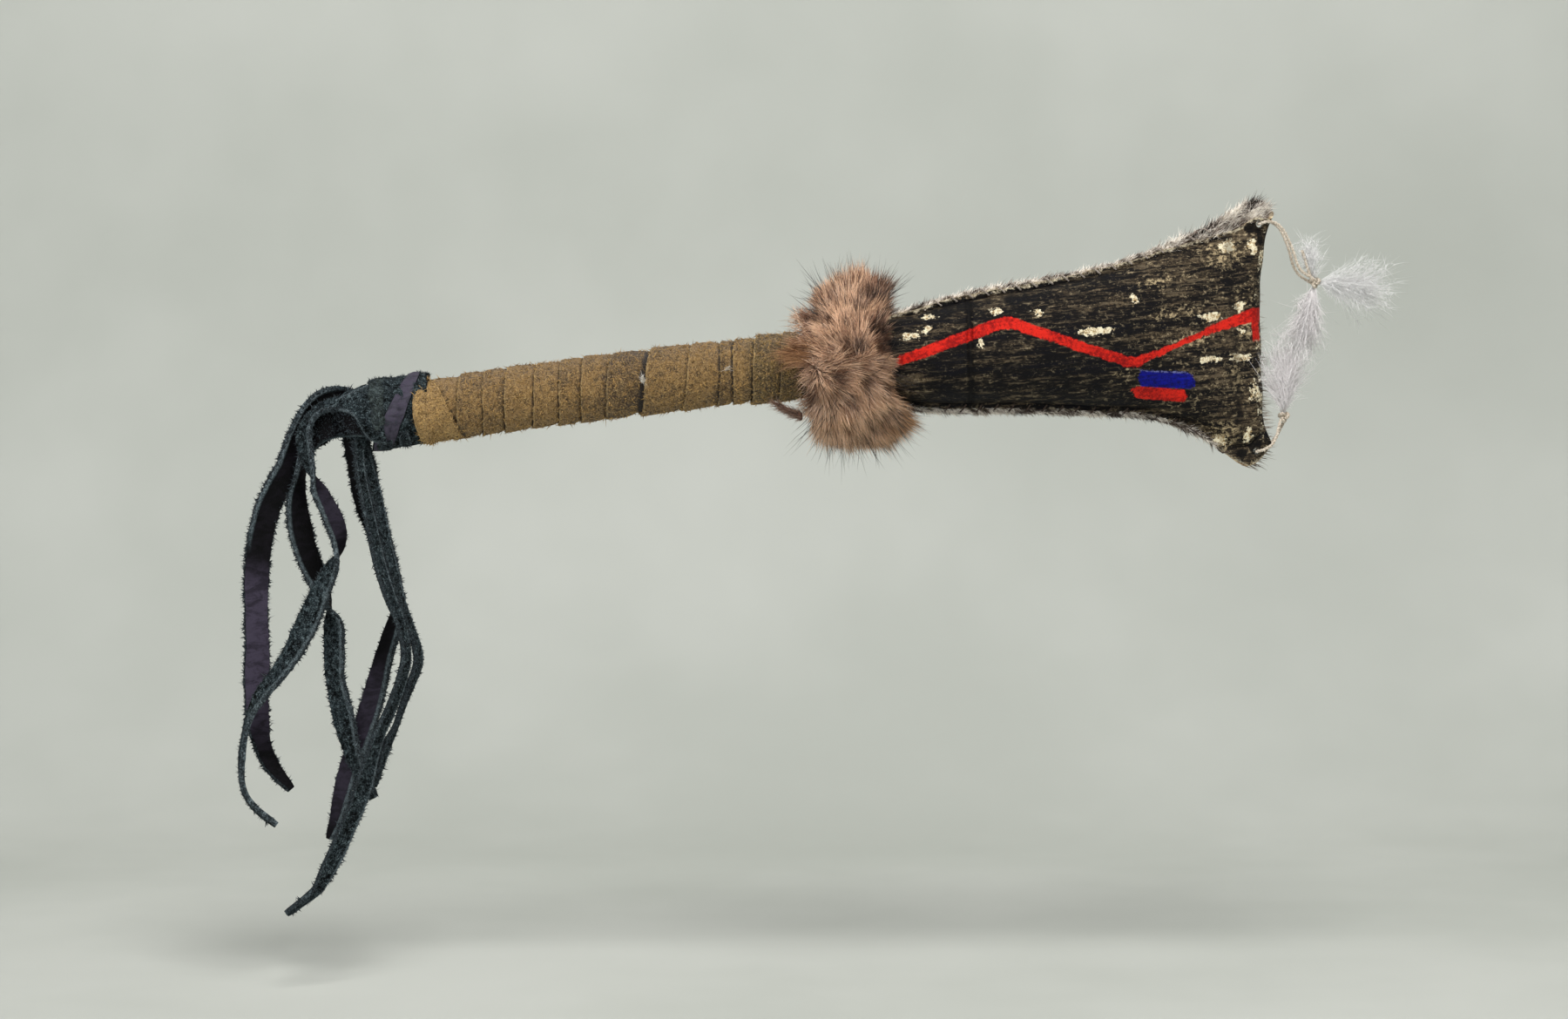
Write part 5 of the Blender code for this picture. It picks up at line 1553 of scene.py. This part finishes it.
def twisted_cord(name, path, diameter, pitch, finish, slot, body, *nodes):
    """A cord of two plies along a path, which twist once round each other in a pitch."""
    ply = diameter * PLY_SHARE
    offset = (diameter - ply) / 2
    data = bpy.data.curves.new(name, "CURVE")
    data.dimensions = "3D"
    data.bevel_depth = ply / 2 * MM
    data.bevel_resolution = 1
    data.use_fill_caps = True
    for start in (0.0, 0.5):
        normal = None
        run = 0.0
        line = data.splines.new("POLY")
        line.points.add(len(path) - 1)
        for i, point in enumerate(path):
            run += (point - path[i - 1]).length if i else 0.0
            tangent = tangent_at(path, i)
            if normal is None:
                normal = tangent.orthogonal().normalized()
            normal = (normal - tangent * normal.dot(tangent)).normalized()
            turn = 2 * math.pi * (run / pitch + start)
            out = normal * math.cos(turn) + tangent.cross(normal) * math.sin(turn)
            line.points[i].co = (*((point + out * offset) * MM), 1.0)
    item = bpy.data.objects.new(name, data)
    bpy.context.collection.objects.link(item)
    solo(item)
    bpy.ops.object.convert(target="MESH")
    return dress(soften(bpy.context.object), finish, slot, body, *nodes)


def back_coat(hide, finish, draw):
    """Short hair on the back of the hide."""
    roots, ways = skin_points(hide, 90000, draw)
    outside = ways[:, 1] * roots[:, 1] > 0
    back = (roots[:, 1] > 1.2) & outside & (roots[:, 0] > COAT_START) & (roots[:, 0] < 236.0)
    roots, ways = roots[back][:COAT_HAIRS], ways[back][:COAT_HAIRS]
    count = len(roots)
    drift = lumps(roots, 9.0, 3.0)
    flow = np.stack([np.full(count, 0.9), np.zeros(count), roots[:, 2] * 0.006], axis=1)
    lean = ways * 0.24 + flow + drift * 0.35 + draw.normal(0, 0.14, (count, 3))
    shade = np.clip(lumps(roots, 16.0, 40.0)[:, 0] * 1.6 - 0.2, 0, 0.8)
    coat = drawn_hairs(
        "hide_coat", FIBRE, roots, lean, 0.12, (3.0, 6.0), (0.22, 0.42), draw, 1.3, shade=shade,
    )
    dress(coat, finish, "painted_hide", GRIP)


def seam_hair(name, side, count, end, on_ear, finish, draw):
    """What shows of the coat along a seam as far as end, with a share of it on the ear."""
    upper = side > 0
    x = draw.uniform(COAT_START, end, count)
    wide = draw.random(count) < on_ear
    x[wide] = draw.uniform(EAR_START, end, wide.sum())
    ear = x > EAR_START
    edge = np.array([seam_point(at, side)[:] for at in x])
    drops = np.array([smooth(TOP_DROP if upper else BOTTOM_DROP, at) for at in x])
    front = draw.random(count) < 0.72
    inset = BACK_DROP + draw.random(count) * (drops + 0.6) if upper else draw.uniform(-0.2, 1.5, count)
    depth = draw.uniform(-0.6 if upper else -2.3, 0.4, count)
    depth = np.where(front, depth, draw.uniform(1.9, 2.4, count))
    roots = edge + np.stack([np.zeros(count), depth, -side * inset], axis=1)
    lean = np.stack([
        draw.normal(0.62, 0.22, count), np.where(front, -0.22, 0.15) + draw.normal(0, 0.12, count),
        side * draw.normal(0.42, 0.22, count),
    ], axis=1) + lumps(roots, 4.0, 60.0) * np.where(ear, 0.15, 0.4)[:, None]
    slanted = roots + np.outer(roots[:, 0], (0.0, 0.0, -0.5 * side))
    streaks = lumps(slanted * np.array([[0.3, 1.0, 1.0]]), 1.9, 80.0)[:, 0]
    patches = lumps(roots, 6.0, 80.0)[:, 0]
    shade = np.clip(patches * 1.2 + streaks * 3.4 + (-0.15 if upper else 0.2), 0, 0.92)
    tone = np.clip(np.where(ear, 0.42, 0.6) - streaks * 2.2 + draw.normal(0, 0.25, count), 0, 1)
    length = draw.uniform(1.7, 3.8, count) * (1.0 if upper else 0.8) * np.where(ear, 1.4, 0.9)
    hair = hairs(
        name, FIBRE, roots, lean, draw.normal(0, 0.2, (count, 3)), length,
        draw.uniform(0.2, 0.4, count), {"tone": tone, "shade": shade},
    )
    dress(hair, finish, "painted_hide", GRIP)


def hide_coat(hide, finish, draw):
    """Hair on the back of the hide, and what shows of it along both seams and on the upper ear."""
    back_coat(hide, finish, draw)
    seam_hair("seam_hair_upper", 1, 10500, 242.5, 0.28, finish, draw)
    seam_hair("seam_hair_lower", -1, 7400, 217.0, 0.0, finish, draw)


# Collar


# Tints of the upper puff, 1, and the lower one, -1: X, Z, half length and half height of where they are
# strongest. The dark ones are dark hair and painted shadow, as in the recess between the puffs
FUR_DARK_AND_SHADOW = {
    1: ((98.5, 3.0, 5.5, 9.0), (99.0, 18.0, 5.0, 6.0)),
    -1: ((72.0, -8.0, 3.0, 4.0), (95.0, -31.0, 6.0, 3.0)),
}
FUR_AMBER = {
    1: ((68.0, 5.0, 8.0, 8.0), (84.0, 30.0, 12.0, 5.0)),
    -1: ((104.0, -22.0, 8.0, 7.0), (74.0, -30.0, 8.0, 5.0)),
}
FUR_LIGHT = {
    1: ((86.0, 10.0, 6.0, 15.0), (76.0, 12.0, 5.0, 8.0)),
    -1: ((82.0, -13.0, 13.0, 9.0), (80.0, -25.0, 11.0, 8.0)),
}


def puff_full(share):
    """How far a puff stands out at a share of its way round, at most 1."""
    return math.sin(math.pi * (0.10 + 0.80 * share)) ** 0.5


def near(roots, spots):
    """How near hairs are to any of the given spots: X, Z, and half length and half height."""
    shares = []
    for x, z, long, high in spots:
        shares.append(np.exp(-((roots[:, 0] - x) / long) ** 2 - ((roots[:, 2] - z) / high) ** 2))
    return np.max(shares, axis=0)


def puff_skin(name, middle, side, finish, node):
    """The soft body under a puff of fur."""
    sweep = math.pi * 0.985
    start = -sweep / 2 + (0.0 if side > 0 else math.pi)

    def place(u, v):
        turn = 2 * math.pi * u
        full = puff_full(v)
        x = middle + PUFF_HALF_LENGTHS[side] * (1.4 - 0.4 * full) * math.cos(turn)
        lift = 2.0 * (1 + min(0.0, math.sin(turn))) + PUFF_LOFTS[side] * full * max(0.0, math.sin(turn))
        spot = around(x, start + sweep * v, PUFF_SEAT + lift * 0.9)
        return spot + spot.normalized() * 0.6 * rough(spot, 6.0, 2.0)

    skin = tube_of(name, 44, 56, place)
    return dress(skin, finish, "brown_fur", GRIP, node)


def puff_coat(label, skin, side, parting, fur, guard, draw):
    """The fur of a puff: long soft hair that lies away from its parting, and stiff dark hairs among it."""
    from_x, from_z = parting

    def start_points(count):
        roots, ways = skin_points(skin, count * 3, draw)
        hub = np.stack([roots[:, 0], np.zeros(len(roots)), np.array([bow(x) for x in roots[:, 0]])], axis=1)
        keep = ((roots - hub) * ways).sum(axis=1) > 0
        return roots[keep][:count], ways[keep][:count]

    def flow(roots):
        away = np.stack([roots[:, 0] - from_x, roots[:, 1] * 0.3, roots[:, 2] - from_z], axis=1)
        return unit(away)

    def rise(roots):
        """0 beside the parting and 1 out on the puff."""
        return np.clip((roots[:, 2] - from_z) * side / 15.0, 0, 1)

    def tint(roots, size, seed):
        """Noise over the puff, other than the other puff's."""
        return lumps(roots, size, seed + side)[:, 0]

    upper = side > 0
    for part in range(2):
        roots, ways = start_points(PUFF_HAIRS)
        count = len(roots)
        clump = lumps(roots, 3.4, 5.0 + side) * 0.7 + lumps(roots, 8.0, 15.0 + side) * 0.7
        curl = near(roots, FUR_AMBER[side][:1]) * upper
        lean = ways * 0.5 + flow(roots) * (0.75 if upper else 0.85)
        lean += clump * 0.7 + draw.normal(0, 0.10, (count, 3))
        lean[:, 0] *= 0.6 + 0.4 * rise(roots) if upper else 1.0
        lean[:, 0] -= 0.5 * curl
        lean[:, 1] *= 0.5
        bends = lumps(roots, 6.0, 25.0 + side) * 0.4 + draw.normal(0, 0.12, (count, 3))
        bends = bends + np.array([[0.04, 0.0, -0.12]])
        # Dark hair and painted shadow: darker in the recess between the puffs and in the gaps between the
        # locks
        dark = near(roots, FUR_DARK_AND_SHADOW[side])
        shade = np.clip(dark * 1.15 + tint(roots, 5.0, 90.0) * 0.9 - 0.22, 0, 0.95)
        shade = np.maximum(shade, np.clip(-tint(roots, 2.8, 33.0) * 3.6 - 0.55, 0, 0.95))
        amber = near(roots, FUR_AMBER[side]) + tint(roots, 6.0, 70.0) * 0.6
        amber = np.clip(amber + (-0.1 if upper else 0.14), 0, 0.9)
        tone = (0.46 if upper else 0.66) + 0.42 * near(roots, FUR_LIGHT[side]) - 0.5 * dark
        tone += tint(roots, 2.0, 120.0) * 1.3
        tone = np.clip(tone + draw.normal(0, 0.2, count), 0, 1)
        tufts = 1 + 0.45 * tint(roots, 6.0, 51.0)
        lengths = draw.uniform(5.0, 10.5, count) * tufts + 5.0 * curl
        lengths *= 1 - 0.5 * near(roots, FUR_DARK_AND_SHADOW[side][:1])
        if upper:
            lengths *= np.clip(1.15 - 0.04 * np.abs(roots[:, 0] - 89.5), 0.65, 1.15)
            lengths *= 1 + 0.6 * near(roots, ((99.0, 19.0, 6.0, 7.0),))
        else:
            beside_head = np.clip((103.0 - roots[:, 0]) / 10.0, 0.35, 1.0)
            lengths *= np.where(roots[:, 2] > -13.0, beside_head, 1.0)
        coat = hairs(
            f"fur_{label}_{part + 1}", HAIR, roots, lean, bends, lengths, draw.uniform(0.2, 0.4, count),
            {"tone": tone, "shade": shade, "amber": amber},
        )
        dress(coat, fur, "brown_fur", GRIP)
    roots, ways = start_points(GUARD_HAIRS)
    lean = ways * 0.8 + flow(roots) * 0.4 + draw.normal(0, 0.34, roots.shape)
    lean[:, 1] *= 0.3
    name = f"fur_{label}_guard"
    stiff = drawn_hairs(name, HAIR, roots, lean, 0.12, (10.0, 19.0), (0.2, 0.34), draw, 2.2)
    dress(stiff, guard, "brown_fur", GRIP)


def fur_band():
    """The hide band under the fur."""
    start, end = BAND_ENDS
    section = ((start, 0.0), (start, BAND_THICK), (end, BAND_THICK), (end, 0.0))

    def place(u, v):
        angle = 2 * math.pi * u
        k = min(int(v * 4), 3)
        t = v * 4 - k
        (x0, r0), (x1, r1) = section[k], section[(k + 1) % 4]
        x, lift = x0 + (x1 - x0) * t, r0 + (r1 - r0) * t
        uneven = 0.15 * rough((x, math.cos(angle) * 9, math.sin(angle) * 9), 4.0)
        return around(x, angle, BAND_RADIUS + lift + uneven)

    return tube_of("fur_hide_band", 64, 48, place, ring=True)


def edge_hair(band, fur, draw):
    """Short hair along the fur's edge on the grip, and the amber lock that leans out of it."""
    roots, ways = skin_points(band, 9000, draw)
    outer = (off_centre(roots) > BAND_RADIUS + 1.0) & (roots[:, 0] < 79.0)
    roots, ways = roots[outer][:3000], ways[outer][:3000]
    turns = draw.uniform(math.radians(274), math.radians(306), LOCK_HAIRS)
    starts = draw.uniform(BAND_ENDS[0], 74.5, LOCK_HAIRS)
    lock_roots = np.array([around(x, turn, 17.0)[:] for x, turn in zip(starts, turns)])
    lock_ways = np.stack([np.full(LOCK_HAIRS, -0.7), np.sin(turns) * 0.4, np.cos(turns) * 0.2], axis=1)
    roots, ways = np.concatenate([roots, lock_roots]), np.concatenate([ways, lock_ways])
    count = len(roots)
    lock = np.exp(-((roots[:, 2] - 5.5) / 4.0) ** 2) * (roots[:, 1] < 0)
    lean = ways * 0.5 + lumps(roots, 4.0, 12.0) * 0.6 + draw.normal(0, 0.18, (count, 3))
    lean[:, 0] -= 0.5 + 1.3 * lock
    tone = np.clip(0.45 + lumps(roots, 2.4, 45.0)[:, 0] * 0.9 + draw.normal(0, 0.2, count), 0, 1)
    length = draw.uniform(3.0, 6.5, count) + lock * draw.uniform(2.0, 9.0, count)
    hair = hairs(
        "fur_edge_hair", HAIR, roots, lean, draw.normal(0, 0.25, (count, 3)), length,
        draw.uniform(0.2, 0.38, count),
        {"tone": tone, "amber": np.clip(lock * 0.8 + 0.2, 0, 0.9)},
    )
    dress(hair, fur, "brown_fur", GRIP)


def fur_tail(fur, draw):
    """The dark end of the fur strip."""
    root = Vector((66.0, -13.2, -16.4))

    def place(u, v):
        angle = 2 * math.pi * u
        centre = root + Vector((-8.6 * v, 0.4 * v, 4.2 * v + 1.6 * v * v))
        centre = centre + Vector((1.6, 0.4, -0.4)) * (1 - v)
        reach = 1.35 * (1 - v) ** 0.45 + 0.12
        flat = Vector((0.35 * math.cos(angle), math.cos(angle), 0.0)) * reach * 0.6
        flat = flat + UP * math.sin(angle) * reach
        return centre + flat * (1 + 0.25 * rough(centre + flat, 1.6, 3.0))

    tail = tube_of("fur_tail", 18, 26, place)
    hide = mottled_hide("dark hide", 420.0, 5.0, (46, 26, 18), (112, 70, 52), 0.7, 0.4 * MM)
    dress(tail, hide, "dark_hide", GRIP, "fur_strip_end")
    roots, ways = skin_points(tail, 500, draw)
    lean = ways * 0.35 + np.array([[-0.8, 0.0, 0.35]]) + draw.normal(0, 0.25, roots.shape)
    hair = drawn_hairs(
        "fur_tail_hair", HAIR, roots, lean, 0.15, (1.5, 4.0), (0.12, 0.22), draw,
        shade=np.full(len(roots), 0.75),
    )
    dress(hair, fur, "dark_hide", GRIP)


def fur_collar(draw):
    fur, guard = brown_fur(), guard_hair()
    hide = mottled_hide("fur skin", 260.0, 4.0, (128, 98, 84), (176, 142, 122), 0.9, 0.6 * MM)
    band = dress(fur_band(), hide, "fur_backing", GRIP, "fur_band")
    edge_hair(band, fur, draw)
    # Middle X, side, and the X and Z that the hair parts from
    puffs = {"upper": (89.0, 1, (91.0, -5.5)), "lower": (87.5, -1, (73.5, -1.5))}
    for label, (middle, side, parting) in puffs.items():
        skin = puff_skin(f"fur_{label}_skin", middle, side, hide, f"fur_collar_{label}")
        puff_coat(label, skin, side, parting, fur, guard, draw)
    fur_tail(fur, draw)


def neck_lashing(finish):
    """Three turns of cord round the hide's neck."""
    turns = [i / 40 for i in range(3 * 40 + 1)]
    points = [around(79.0 + 2.4 * turn, 2 * math.pi * turn, 14.3) for turn in turns]
    twisted_cord("neck_cord", points, 1.8, 4.5, finish, "lashing_cord", GRIP, "neck_lashing")


# Pendants


def twine_path(spot, leg, knot):
    """The doubled twine: from its knot up the front of the ear, through the hole and down the back."""
    hole = ear_hole(spot)
    radius = TWINE_DIAMETER / 2
    layer = (SEAM_SLIT + HIDE_THICKNESS) / 2 + HIDE_THICKNESS / 2 + CLEARANCE + radius
    close = radius + 0.3
    centre = hole + Vector((knot[0], 0.0, knot[1]))
    path, shares = [], []
    for i, (x, z) in enumerate(leg):
        share = max(0.0, (i - 1) / (len(leg) - 1))
        path.append(hole + Vector((x, layer + (close - layer) * share, z)))
        shares.append(share)
    arrive = Vector((path[-1].x - centre.x, 0.0, path[-1].z - centre.z)).normalized()
    path.append(centre + arrive * (KNOT_DIAMETER * 0.3) + Vector((0.0, close, 0.0)))
    apart = []
    for i, share in enumerate([*shares, 1.0]):
        tangent = tangent_at(path, i)
        apart.append(Vector((-tangent.z, 0.0, tangent.x)) * (TWINE_APART * share))
    back = [hole + Vector((0.0, layer * 0.62, 0.0)), *(p - aside for p, aside in zip(path, apart))]
    front = [hole - Vector((0.0, layer * 0.62, 0.0))]
    front += [Vector((p.x, -p.y, p.z)) + aside for p, aside in zip(path, apart)]
    return smooth_path(front[::-1] + [hole] + back, TWINE_SPACING)


def knot_path(centre, size):
    """An overhand knot pulled tight."""
    points = []
    for i in range(61):
        t = 2 * math.pi * i / 60
        x, z = math.sin(t) + 2 * math.sin(2 * t), math.cos(t) - 2 * math.cos(2 * t)
        points.append(centre + Vector((x / 3, -math.sin(3 * t) * 0.8, z / 3)) * size)
    return points


def plume(name, centre, tip, width, depth, finish, slot, body, node, draw, barbs, curl=0.0):
    """A down plume: a short quill and soft barbs that fan from it in curling locks."""
    line = Vector((tip[0], 0.0, tip[1]))
    along = line.normalized()
    side = Vector((-along.z, 0.0, along.x))
    length = line.length
    start = 1.2
    root = centre + along * start

    def spine(t):
        return root + along * (length - start) * t + side * curl * math.sin(math.pi * t) * length

    def quill_place(u, v):
        angle = 2 * math.pi * u
        reach = 0.32 * (1 - 0.8 * v)
        return spine(v * 0.55) + side * math.cos(angle) * reach + BACK * math.sin(angle) * reach

    quill = tube_of(name + "_quill", 8, 20, quill_place)
    dress(quill, finish, slot, body, node)
    locks = 44
    lock_at = np.linspace(0.0, 0.6, locks) ** 1.2
    lock_turn = np.arange(locks) * 2.4 + draw.normal(0, 0.4, locks)
    lock_bend = np.clip(draw.normal(0, 0.22, (locks, 3)), -0.36, 0.36)
    lock_way = np.outer(np.cos(lock_turn) * width / 2, side) + np.outer(np.sin(lock_turn) * depth / 2, BACK)
    lock_way *= draw.uniform(0.25, 0.95, (locks, 1))
    lock_way += np.outer(np.minimum(draw.uniform(0.3, 0.85, locks), 1 - lock_at) * length, along)
    lock_long = np.linalg.norm(lock_way, axis=1, keepdims=True)
    lock_root = np.array([spine(at)[:] for at in lock_at])

    # Long barbs run the length of a lock. Short ones fluff out from it.
    pick = draw.integers(0, locks, barbs)
    long = draw.random((barbs, 1)) < 0.4
    share = np.where(long, 0.0, draw.uniform(0.15, 0.95, (barbs, 1)))
    roots = lock_root[pick] + lock_way[pick] * share + lock_bend[pick] * share ** 2 * lock_long[pick]
    roots += draw.normal(0, 0.25, (barbs, 3))
    scatter = draw.normal(0, 1.0, (barbs, 3)) * np.array([[1.0, 0.7, 1.0]])
    lean = lock_way[pick] / lock_long[pick] * np.where(long, 1.0, 0.6) + scatter * np.where(long, 0.16, 0.5)
    lengths = lock_long[pick] * draw.uniform(0.6, 1.05, (barbs, 1))
    lengths = np.where(long, lengths, draw.uniform(2.0, 5.5, (barbs, 1)))[:, 0]
    bends = np.where(long, lock_bend[pick], 0.0)
    bends = bends + draw.normal(0, 1.0, (barbs, 3)) * np.where(long, 0.12, 0.4)
    bends[:, 2] -= 0.06
    widths = draw.uniform(0.12, 0.24, barbs)
    barb = hairs(name, HAIR, roots, lean, bends, lengths, widths, {"tone": draw.random(barbs)})
    return [quill, dress(barb, finish, slot, body)]


def pendant(label, spot, leg, knot, plumes, draw):
    body = f"{label}_pendant"
    twine = twine_finish(f"{label} twine", (164, 148, 128), (236, 226, 210))

    def twine_piece(part, path, diameter, pitch, *nodes):
        name = f"twine_{label}_{part}"
        return twisted_cord(name, path, diameter, pitch, twine, "cream_twine", body, *nodes)

    path = twine_path(spot, leg, knot)
    cord = twine_piece("cord", path, TWINE_DIAMETER, TWINE_PITCH, f"twine_{label}")
    centre = ear_hole(spot) + Vector((knot[0], 0.0, knot[1]))
    made = [twine_piece("tied", knot_path(centre, 1.75), 1.3, 2.4, f"twine_{label}_knot")]
    if label == "upper":
        stub = smooth_path([centre + Vector((x, -1.0, z)) for x, z in TWINE_END], TWINE_SPACING)
        made.append(twine_piece("end", stub, TWINE_DIAMETER, TWINE_PITCH))
    for name, (tip, width, depth, finish, slot, barbs, curl) in plumes.items():
        made += plume(name + "_down", centre, tip, width, depth, finish, slot, body, name, draw, barbs, curl)
    line = [p * MM for p in path]
    ear_hole(spot) * MM
    path_length(line)


def pendants():
    draw = np.random.default_rng(55)
    white = down("white down", (246, 245, 244), (255, 255, 254))
    grey = down("grey down", (238, 232, 232), (255, 252, 252))
    # Tip as an offset from the knot, width, depth, finish, slot, number of barbs and curl of each
    upper = {
        "plume_white": ((25.6, -5.6), 22.0, 15.0, white, "white_down", 2000, 0.02),
        "plume_tuft": ((-0.6, 14.5), 10.0, 7.0, white, "white_down", 650, 0.06),
        "plume_grey": ((-8.6, -24.5), 16.0, 10.0, grey, "grey_down", 1900, 0.05),
    }
    lower = {"plume_lower": ((1.2, 25.2), 20.0, 10.0, grey, "grey_down", 2200, -0.06)}
    pendant("upper", UPPER_HOLE, UPPER_LEG, UPPER_KNOT, upper, draw)
    pendant("lower", LOWER_HOLE, LOWER_LEG, LOWER_KNOT, lower, draw)


# Stage, light and camera


def view_axes():
    right = Vector((math.cos(VIEW_ROLL), 0.0, -math.sin(VIEW_ROLL)))
    level_up = Vector((math.sin(VIEW_ROLL), 0.0, math.cos(VIEW_ROLL)))
    forward = BACK * math.cos(VIEW_RISE) - level_up * math.sin(VIEW_RISE)
    return right, level_up, forward


def camera():
    right, _, forward = view_axes()
    data = bpy.data.cameras.new("camera")
    data.lens = LENS
    data.sensor_width = SENSOR_WIDTH
    data.clip_start, data.clip_end = 0.01, 20.0
    item = bpy.data.objects.new("camera", data)
    bpy.context.collection.objects.link(item)
    up = right.cross(forward)
    item.location = (VIEW_CENTRE - forward * VIEW_DISTANCE) * MM
    turn = item.matrix_world.to_3x3()
    turn.col[0], turn.col[1], turn.col[2] = right, up, -forward
    item.rotation_euler = turn.to_euler()
    bpy.context.scene.camera = item


def backdrop():
    """A pale floor that curves up into a wall, level in the picture."""
    right, level_up, _ = view_axes()
    made = Finish("backdrop")
    cloud = made.grain(made.place(), 3.0, 4.0, 0.6)
    colour = made.mix(cloud.from_to(0.3, 0.7), (184, 188, 181), (198, 201, 195))
    material = made.finish(colour, 0.9)
    seen = made.node("MixShader", None, {0: made.node("NewGeometry", out="Backfacing")})
    made.tree.links.new(made.shader.outputs[0], seen.socket.node.inputs[1])
    made.link(seen.socket.node.inputs[2], made.node("BsdfTransparent"))
    made.link(made.tree.nodes["Material Output"].inputs["Surface"], seen)
    floor = VIEW_CENTRE - level_up * FLOOR_DROP
    wide, near_edge, long = 5200.0, -1500.0, 3200.0
    flat, radius = 330.0, 260.0
    quarter = radius * math.pi / 2

    def place(u, v):
        run = near_edge + long * v
        bend = min(max(run - flat, 0.0), quarter) / radius
        depth = min(run, flat) + radius * math.sin(bend)
        rise = radius * (1 - math.cos(bend)) + max(0.0, run - flat - quarter)
        return floor + right * (u - 0.5) * wide + BACK * depth + level_up * rise

    item = sheet_of("backdrop", 2, 160, place)
    item.data.materials.append(material)
    item.data.shade_smooth()


def lamp(name, place, size, power, colour=(1.0, 1.0, 1.0)):
    """A round lamp that faces the part. Its place and size are in metres."""
    data = bpy.data.lights.new(name, "AREA")
    data.shape = "DISK"
    data.size = size
    data.energy = power
    data.color = colour
    item = bpy.data.objects.new(name, data)
    bpy.context.collection.objects.link(item)
    item.location = place
    aim = VIEW_CENTRE * MM - Vector(place)
    item.rotation_euler = aim.to_track_quat("-Z", "Y").to_euler()


def light():
    lamp("key", (0.30, -0.85, 1.25), 0.7, 22.0, (1.0, 0.98, 0.96))
    lamp("fill", (-0.7, -1.4, -0.05), 1.2, 10.0, (0.97, 0.98, 1.0))
    lamp("rim", (0.3, 0.9, 0.9), 0.8, 6.0)
    world = bpy.data.worlds.new("room")
    world.use_nodes = True
    glow = world.node_tree.nodes["Background"].inputs
    glow["Color"].default_value = (0.95, 0.95, 0.95, 1.0)
    glow["Strength"].default_value = 0.42
    bpy.context.scene.world = world
    bpy.context.scene.view_settings.view_transform = "Standard"


def shown_nodes():
    """Finishes for the hard pieces of the frame that show as they are."""
    wood, stone = peeled_wood(), river_stone()
    for name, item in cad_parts.items():
        if name == "handle_stick" or name.startswith("pebble"):
            item.data.materials.clear()
            item.data.materials.append(wood if name == "handle_stick" else stone)


def main():
    camera()
    backdrop()
    light()
    shown_nodes()
    green = green_suede()
    green_fuzz = fibres("green fibres", (7, 11, 13), (50, 62, 68), (76, 90, 98))
    for index in STRIPS:
        fringe_strip(index, green, green_fuzz)
    pendants()
    butt_binding(green, green_fuzz)
    handle_wrap(
        tan_suede("tan suede", (74, 52, 24), (166, 129, 73)),
        tan_suede("pale tan suede", (112, 83, 43), (196, 158, 98)),
        # Darker for the flap's cut edge, which is also painted shade along the flap's edge
        tan_suede("cut and shaded tan suede", (44, 29, 13), (96, 70, 36)),
        fibres("tan fibres", (48, 32, 14), (204, 166, 103), (190, 150, 88)),
        fibres("pale tan fibres", (84, 60, 29), (222, 186, 122), (208, 170, 108)),
    )
    hide = head_hide(painted_hide(), raw_hide())
    pale_thread = twine_finish("pale seam thread", (112, 100, 92), (186, 176, 164))
    dark_thread = twine_finish("dark seam thread", (36, 28, 25), (92, 76, 64))
    seam_lacing("seam_thread_upper", 1, pale_thread, "seam_lacing_upper")
    seam_lacing("seam_thread_lower", -1, dark_thread, "seam_lacing_lower")
    hide_coat(hide, coat_hair(), np.random.default_rng(31))
    neck_lashing(twine_finish("lashing twine", (126, 96, 66), (188, 154, 112)))
    fur_collar(np.random.default_rng(43))
    bpy.ops.object.select_all(action="DESELECT")


main()
